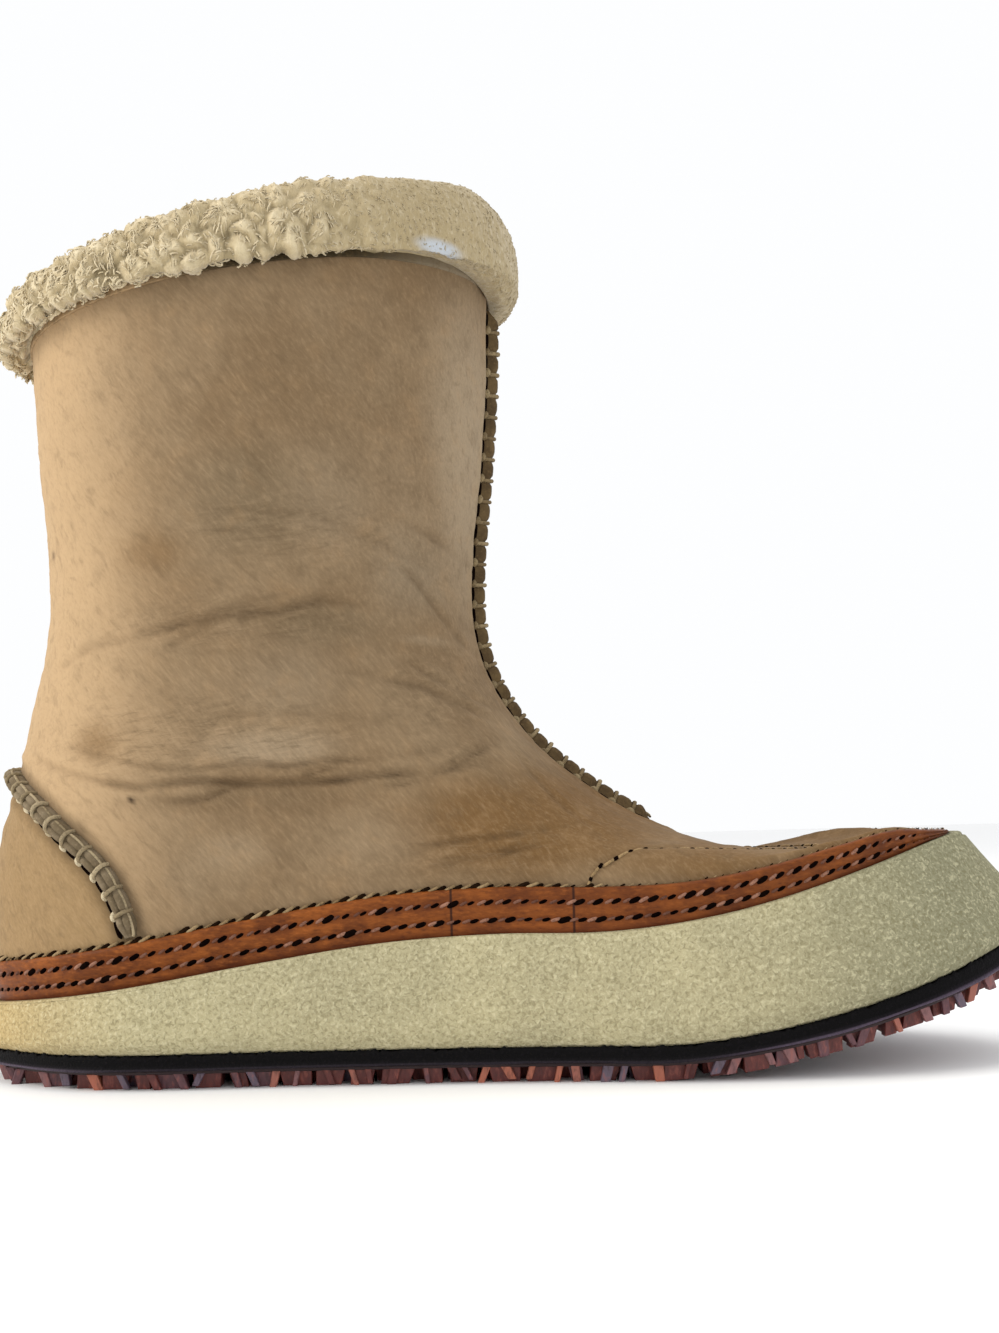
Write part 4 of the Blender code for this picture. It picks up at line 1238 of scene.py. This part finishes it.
def buildRoll(material):
    rows, rises, back = rollGrid()
    count = rows.shape[1]
    flat = rows.reshape(-1, 3)
    around = np.roll(rows, -1, axis=1) - np.roll(rows, 1, axis=1)
    onward = np.gradient(rows, axis=0)
    facing = unit(np.cross(onward, around)).reshape(-1, 3)
    dome, middle = curl(flat, fleece["tuft"])
    smooth = softStep(flat[:, 0], fleece["smoothFrom"], fleece["smoothTo"])
    top = softStep(rises.reshape(-1), 0.006, 0.016) * 0.35
    coarse = (1 - smooth * 0.86) * (1 - top)
    share = np.repeat(np.linspace(0, 1, len(rows)), count)
    hold = softStep(share, 0.0, 0.05) * (1 - softStep(share, 0.93, 1.0))
    slow = crumple(flat, 0.016, 2, 7.0) * 0.0006
    nap = crumple(flat * (1, 1, 0.5), 0.0015, 2, 3.0) * fleece["nap"]
    curls = crumple(flat * (1, 1, 0.7), 0.0024, 3, 11.0) * fleece["curl"] * coarse
    lift = hold * (dome * coarse * fleece["tuftHeight"] + slow + nap + curls)
    moved = flat + facing * lift[:, None]
    piece = ringMesh("collarFleece", [*moved.reshape(rows.shape), *back], closed=True)
    # a pale blue-white patch on the inner side: painted highlight
    patch = flat[:, 0] + 0.0110, rises.reshape(-1) - 0.0012
    paintedHighlight = np.exp(-((patch[0] / 0.0062) ** 2) - ((patch[1] + patch[0] * 0.15) / 0.0026) ** 2)
    paintedHighlight *= (flat[:, 1] < 0) * (share < 0.4) * softStep(share, 0.10, 0.16)
    # depth sets the fleece's painted shade in the pits and painted highlight on the tufts' tips
    depth = dome * coarse + 0.62 * (1 - coarse) + curls * 220
    for key, values in (("depth", depth), ("smooth", smooth), ("paintedHighlight", paintedHighlight)):
        setAttribute(piece, key, values)
    dress(piece, material, "fleece", "collar_fleece")
    return *(grid.reshape(rows.shape) for grid in (moved, facing, middle)), coarse.reshape(rows.shape[:2])


def growStrands(name, grids, rowsFrom, rowsTo, count, seed, material):
    points, facing, middle, coarse = grids
    chance = np.random.default_rng(seed)
    row = chance.uniform(rowsFrom, rowsTo, count)
    column = chance.uniform(0, points.shape[1], count)

    low, left = np.floor(row).astype(int), np.floor(column).astype(int) % points.shape[1]

    def at(grid):
        right, high = (left + 1) % points.shape[1], low + 1
        down, across = row - low, column % 1
        if grid.ndim == 3:
            down, across = down[:, None], across[:, None]
        lower = grid[low, left] * (1 - across) + grid[low, right] * across
        upper = grid[high, left] * (1 - across) + grid[high, right] * across
        return lower * (1 - down) + upper * down

    place, out, rough = at(points), unit(at(facing)), at(coarse)
    nearest = middle[low, left]
    toward = nearest - place
    loose = chance.normal(size=(count, 3)) * 0.0005 + np.array([0.0006, 0, -0.0004])
    ahead = toward * rough[:, None] + loose
    ahead = unit(ahead - out * (ahead * out).sum(axis=1, keepdims=True))
    lean = unit(out * (0.5 + 0.2 * rough[:, None]) + ahead * (0.8 - 0.2 * rough[:, None]) + loose * 90)
    size = 0.34 + 0.66 * rough
    piece = pointCloud(name, place, out=lean, ahead=ahead, size=size, smooth=1 - rough)
    sizes = {"Length": fleece["strandLength"], "Radius": fleece["strandRadius"]}
    run(piece, strand, {**sizes, "Seed": seed, "Finish": material})
    # the strands take the tips' colour: painted highlight
    setAttribute(piece, "depth", np.full(len(piece.data.vertices), 0.82))
    dress(piece, None, "fleece")


def fleeceFinish():
    material, place = startMaterial("fleece", 1.0, 0.1, 0.25)
    depth, smooth, tint = marked(place, "depth"), marked(place, "smooth"), marked(place, "tint")
    cloud = grain(place, 0.012, 3)
    fluff = grain(turned(place, (0, 0, 0), (1, 1, 0.45)), 0.0009, 3, 0.65)
    # dark in the pits and light on the tips by depth: painted shade and painted highlight
    base = blendColour(ramp(depth, 0.0, 0.6), colour(118, 104, 75), colour(184, 167, 132))
    base = layered(base, [
        # painted highlight on the tufts' tips
        (ramp(depth + tint * 0.2, 0.62, 1.05) * 0.75, (218, 203, 170)),
        (smooth * 0.85, (160, 143, 108)),
        (ramp(cloud, 0.45, 0.7) * 0.35, (166, 150, 114)),
        (ramp(fluff, 0.5, 0.75) * 0.3, (228, 216, 188)),
        (ramp(1 - fluff, 0.5, 0.75) * 0.3, (150, 132, 98)),
        # painted highlight: a pale blue-white patch
        (ramp(marked(place, "paintedHighlight"), 0.2, 0.95), (182, 187, 192)),
    ])
    return finished(material, base, raised(fluff, 0.0006, strength=0.8))


fleeceCurls = fleeceFinish()
rollParts = buildRoll(fleeceCurls)
growStrands("curlsOutside", rollParts, 12, 52, fleece["strands"], 21, fleeceCurls)
growStrands("curlsInside", rollParts, 52, 98, fleece["strandsInside"], 22, fleeceCurls)
print("fleece collar grown")

# the cut edge of the leather under the roll, and the fleece inside the shaft
edging = {"columns": 300, "height": 0.0006, "frontHeight": 0.0016, "over": 0.0020, "proud": 0.0005}
edgeSection = ((-1.2, -1.0), (0.35, -1.0), (0.9, -0.75), (1.0, -0.45), (0.9, 0.4), (0.4, 1.0), (-1.2, 1.0))
lining = {"columns": 220, "rows": 100, "thickness": 0.0006, "tuftHeight": 0.0018}


def buildEdging(material):
    u = turns(edging["columns"])
    edge, out = upperSurface(u, collar), upperNormal(u, collar)
    up = unit(edge - upperSurface(u, collar - 0.5))
    front = softStep(edge[:, 0], -0.035, -0.005)
    tall = mixed(edging["height"], edging["frontHeight"], front)
    proud = edging["proud"] * (1 + 0.35 * crumple(edge, 0.004, 2))
    rings = []
    for across, rise in edgeSection:
        height = rise * (tall if rise < 0 else edging["over"])
        rings.append(edge + (across * proud)[:, None] * out + np.broadcast_to(height, len(u))[:, None] * up)
    piece = ringMesh("collarEdge", rings, closed=True)
    setAttribute(piece, "front", np.tile(front, len(rings)))
    setAttribute(piece, "back", np.tile(1 - softStep(edge[:, 0], -0.088, -0.060), len(rings)))
    dress(piece, material, "seam_leather")


def edgeFinish():
    material, place = startMaterial("leather edge", 0.9, 0.2)
    fibre = grain(place, 0.0016, 3, 0.6)
    # dark brown where the roll hangs over: the edge's own dark tone and painted shade under the roll; grey in
    # front, pale at the heel
    base = blendColour(marked(place, "front"), colour(56, 46, 28), colour(128, 115, 94))
    base = layered(base, [
        (marked(place, "back"), (158, 132, 98)),
        (ramp(fibre, 0.45, 0.7) * 0.5, (98, 82, 56)),
    ])
    return finished(material, base, raised(fibre, 0.0003))


def buildLining(material):
    u = turns(lining["columns"])
    top = float(np.interp(form["collarBack"] - fleece["liningDrop"] + 0.0005, *levelsAtHeel()))
    levels = leatherRows(lining["rows"], 0.34, top)[::-1]
    wall = np.array([upperSurface(u, v) - (form["wall"] + 0.0008) * upperNormal(u, v) for v in levels])
    toe = softStep(wall[..., 0], 0.03, 0.06)  # where the space is low the lining lies flatter and further in
    wall[..., :2] *= 1 - 0.05 * toe[..., None]
    wall[..., 2] -= 0.0036 * toe * softStep(levels, 0.4, 0.9)[:, None]
    inward = -np.array([upperNormal(u, v) for v in levels]) * (1 - 0.7 * toe[..., None])
    flat = wall.reshape(-1, 3)
    dome = curl(flat, fleece["tuft"])[0]
    share = np.repeat(np.linspace(0, 1, len(levels)), len(u))
    hold = softStep(share, 0.0, 0.02) * (1 - softStep(share, 0.97, 1.0))
    moved = flat + inward.reshape(-1, 3) * (lining["thickness"] + hold * dome * lining["tuftHeight"])[:, None]
    piece = ringMesh("shaftLining", [*moved.reshape(wall.shape), *wall[::-2]], closed=True)
    # darker between the lining's tufts: painted shade
    setAttribute(piece, "depth", 0.25 + 0.5 * dome)
    dress(piece, material, "fleece")


def levelsAtHeel():
    levels = np.linspace(1, collar, 300)
    return upperSurface(0.0, levels)[:, 2], levels


buildEdging(edgeFinish())
buildLining(fleeceCurls)
print("edge and lining built")

# the black rubber band under the foam
band = {"columns": 1500, "fuzz": 0.0008, "wave": 0.00035}
# rings of the band: share of its height, how far it stands out, how much it belongs to the lip, which also
# sets the lip's painted highlight
bandRings = (
    (0.00, -0.0002, 0.0), (0.00, 0.0010, 1.0), (0.06, 0.0013, 1.0), (0.13, 0.0012, 0.8),
    (0.20, 0.0009, 0.1), (0.40, 0.0008, 0.0), (0.65, 0.0008, 0.0), (0.84, 0.0008, 0.0),
)


def buildBand(material):
    foot = soleWall(turns(band["columns"]), 0.0)
    fuzz = crumple(foot, 0.0011, 2) * band["fuzz"]
    wave = crumple(foot, 0.022, 2, 3.0) * band["wave"]

    def height(share):
        return lambda x: outsoleBottom(x) + share * (midsoleBottom(x) - form["gap"] - outsoleBottom(x))

    rings = []
    for share, proud, edge in bandRings:
        rings.append(pushed(foot, proud, height(share)))
        rings[-1][:, 2] += wave * edge
    for proud in (0.0007, 0.00035, -0.0016):
        rings.append(pushed(foot, proud, height(1.0)))
        rings[-1][:, 2] += np.where(proud > 0, fuzz + 0.0002, -0.0001)
    piece = ringMesh("outsoleBand", rings, capped=True)
    setAttribute(piece, "lip", np.repeat([edge for share, proud, edge in bandRings], len(foot)))
    dress(piece, material, "band_rubber", "outsole")


def bandFinish():
    material, place = startMaterial("band rubber", 0.6, 0.1)
    rough = grain(place, 0.0007, 3, 0.6)
    base = blendColour(ramp(rough, 0.5, 0.8) * 0.5, colour(5, 4, 5), colour(26, 22, 27))
    along = axisOf(place, 0)
    ends = 1 - ramp(along, -0.125, -0.095) * (1 - ramp(along, 0.045, 0.075)) * 0.8
    # grey-violet on the lip at the heel and the toe: painted highlight
    base = blendColour(marked(place, "lip") * ends * (0.4 + rough * 0.6), base, colour(92, 80, 96))
    return finished(material, base, raised(rough, 0.0004), 0.75 - marked(place, "lip") * 0.3)


buildBand(bandFinish())
print("black band built")

# the rubber lugs: three blocks to a row, and slanting fins along both sides whose mixed tones are partly the
# rubber's own and partly painted highlights and reflections
tread = {
    "inset": 0.0016,
    "rows": 30,
    "across": 3,
    "groove": 0.0014,
    "chevron": 0.0045,
    "chevronRun": 0.17,
    "blunt": 0.008,
    "backLug": (0.0045, 0.0105),  # the wide dark lugs behind the fins
    "backDepth": (0.0040, 0.0065),
    "finDepth": (0.0022, 0.0040),
    "finPitch": (0.0028, 0.0085),
    "finWidth": (0.0012, 0.0028),
    "taper": 0.86,
    "seed": 12,
}


def lugTree():  # a tapered block at every point, set out by three vectors of the point
    tree, given, ending = newTree("lug", [("Taper", "NodeSocketFloat"), ("Finish", "NodeSocketMaterial")])
    taper = given["Taper"]
    corner = math.sqrt(0.5)
    sizes = {"Vertices": 4, "Radius Top": taper * corner, "Radius Bottom": corner, "Depth": 1.0}
    block = taper.node("GeometryNodeMeshCone", {}, sizes)
    block = block.node("GeometryNodeTransform", {}, {"Geometry": block, "Rotation": (0, 0, math.pi / 4)})
    copies = taper.node("GeometryNodeInstanceOnPoints", {}, {"Points": given["Geometry"], "Instance": block})
    cells = {}
    position = taper.node("GeometryNodeInputPosition")
    for column, axis in enumerate((*(vectorOf(taper, name) for name in ("long", "wide", "deep")), position)):
        for row in range(3):
            cells[column * 4 + row] = axis.node("ShaderNodeSeparateXYZ", {}, {0: axis}, row)
    matrix = taper.node("FunctionNodeCombineMatrix", {}, cells)
    copies = copies.node("GeometryNodeSetInstanceTransform", {}, {"Instances": copies, "Transform": matrix})
    solid = solidify(copies, numberOf(taper, "shade"), given, False)
    tree.links.new(solid.socket, ending.inputs["Geometry"])
    return tree


def soleEdges(inset):  # the outline's outer and inner side at a place along the sole
    dense = pushed(soleWall(turns(600), 0.0), -inset, outsoleBottom)
    half = len(dense) // 2
    outer, inner = dense[: half + 1], dense[half:][::-1]

    def sides(x):
        return np.interp(x, outer[:, 0], outer[:, 1]), np.interp(x, inner[:, 0], inner[:, 1])

    return sides, dense[:, 0].min(), dense[:, 0].max()


def buildTread(rubber, sheetRubber):
    sides, heelEnd, toeEnd = soleEdges(tread["inset"])
    length = toeEnd - heelEnd
    chance = random.Random(tread["seed"])
    spots = []

    def addBlock(x, y, long, wide, lean, short, shade):  # hangs from the sheet, its foot on the floor
        top = form["lugHeight"] + float(toeLift(x)) + 0.0003
        foot = float(toeLift(x + lean)) + short
        slope = float(toeLift(x + long / 2) - toeLift(x - long / 2))
        spots.append(((x, y, top), (long, 0, slope), (0, -wide, 0), (lean, 0, foot - top), shade))

    pitch = length * (1 - 2 * tread["blunt"]) / tread["rows"]
    for row in range(tread["rows"]):
        middle = heelEnd + tread["blunt"] * length + (row + 0.5) * pitch
        room = min(middle - heelEnd, toeEnd - middle) / length
        ahead = tread["chevron"] * min(1.0, room / tread["chevronRun"])
        outer, inner = (float(side) for side in sides(middle))
        for k in range(tread["across"]):
            start, end = (outer + (inner - outer) * (k + step) / tread["across"] for step in (0, 1))
            start -= tread["groove"] + (0.0045 if k == 0 else 0)
            end += tread["groove"] + (0.0045 if k == 2 else 0)
            if start - end > 0.003:
                x = middle + ahead * (1.0 if k == 1 else 0.35)
                if heelEnd + 0.004 < x < toeEnd - 0.004:
                    shade = chance.choice((0.1, 0.2, 0.5))
                    addBlock(x, (start + end) / 2, pitch - 2 * tread["groove"], start - end, 0, 0, shade)
    for hand in (0, 1):
        inward = -1 if hand == 0 else 1
        x = heelEnd + 0.0040
        while x < toeEnd - 0.0045:
            step = min(chance.uniform(*tread["backLug"]), toeEnd - 0.004 - x)
            outer, inner = (float(side) for side in sides(x + step / 2))
            edge = float(min((sides(x)[hand], sides(x + step)[hand]), key=abs))
            deep = min(chance.uniform(*tread["backDepth"]), (outer - inner) * 0.4)
            back = chance.uniform(0.0008, 0.0018)
            lean = chance.uniform(-0.0012, 0.0012)
            width = step - chance.uniform(0.0008, 0.0026)
            shade = chance.choice((0.0, 0.08, 0.15, 0.3))
            addBlock(x + step / 2, edge + inward * (back + deep / 2), width, deep, lean, 0, shade)
            x += step
        x = heelEnd + 0.0040
        while x < toeEnd - 0.0045:
            edge = float(sides(x)[hand])
            outer, inner = (float(side) for side in sides(x))
            deep = min(chance.uniform(*tread["finDepth"]), (outer - inner) * 0.3)
            back = chance.uniform(0, 0.0005)
            lean = chance.choice((-1, -0.6, 0.3, 0.8, 1)) * 0.0016
            short = chance.choice((0, 0, 0.0003, 0.0008))
            # higher shades give grey-violet and salmon tones, partly painted reflections and highlights
            shade = chance.choice((0.1, 0.3, 0.5, 0.62, 0.8, 0.9, 1.0))
            width = chance.uniform(*tread["finWidth"])
            addBlock(x, edge + inward * (back + deep / 2), width, deep, lean, short, shade)
            x += chance.uniform(*tread["finPitch"])
    place, long, wide, deep, shade = (np.array([spot[k] for spot in spots]) for k in range(5))
    piece = pointCloud("treadLugs", place, long=long, wide=wide, deep=deep, shade=shade)
    run(piece, lugTree(), {"Taper": tread["taper"], "Finish": rubber})
    soften = piece.modifiers.new("soften", "BEVEL")
    soften.width = 0.00022
    soften.segments = 1
    dress(piece, None, "tread_rubber", "tread")
    foot = soleWall(turns(300), 0.0)
    rings = []
    thick = form["treadSheet"]
    for proud, rise in ((-0.0022, 0.0), (-0.0016, 0.0003), (-0.0014, thick), (-0.0020, thick)):
        rings.append(pushed(foot, proud, lambda x: form["lugHeight"] + rise + toeLift(x)))
    dress(ringMesh("treadSheet", rings, capped=True), sheetRubber, "tread_rubber")


def lugFinish():
    material, place = startMaterial("lug rubber", 0.55)
    tint = marked(place, "tint")
    streak = grain(turned(place, (0, 0.5, 0), (1, 1, 0.4)), 0.0011, 3, 0.6)
    # dark red rubber; the grey-violet and salmon tints stand partly for mixed rubber and partly for painted
    # reflections and highlights
    base = blendColour(ramp(tint, 0.2, 0.45), colour(92, 37, 32), colour(94, 80, 94))
    base = layered(base, [
        (ramp(tint, 0.66, 1.0), (168, 96, 72)),
        (ramp(streak, 0.5, 0.7) * 0.35, (168, 92, 76)),
        (ramp(1 - streak, 0.5, 0.7) * 0.5, (54, 22, 24)),
    ])
    return finished(material, base, raised(streak, 0.0002))


def sheetFinish():
    material, place = startMaterial("sheet rubber", 0.7)
    speck = grain(place, 0.0008, 3)
    return finished(material, blendColour(speck, colour(26, 12, 14), colour(48, 26, 28)))


buildTread(lugFinish(), sheetFinish())
print("tread built")

# the footbed keeps its solid and gets a short pile
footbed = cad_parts["insole"]


def pileFinish():
    material, place = startMaterial("footbed pile", 1.0)
    sizes = {"Vector": place, "Scale": 1 / 0.0035, "Smoothness": 0.7}
    tuft = place.node("ShaderNodeTexVoronoi", {"feature": "SMOOTH_F1"}, sizes, "Distance")
    fluff = grain(place, 0.0008, 3, 0.65)
    # light on the tufts and darker between them: painted highlight and painted shade over the bump
    base = blendColour(ramp(tuft, 0.1, 0.6), colour(212, 198, 164), colour(150, 134, 100))
    base = blendColour(fluff * 0.4, base, colour(188, 172, 134))
    return finished(material, base, raised((1 - tuft) * 0.7 + fluff * 0.3, 0.0012))


footbed.data.materials.clear()
footbed.data.materials.append(pileFinish())
print("footbed finished")
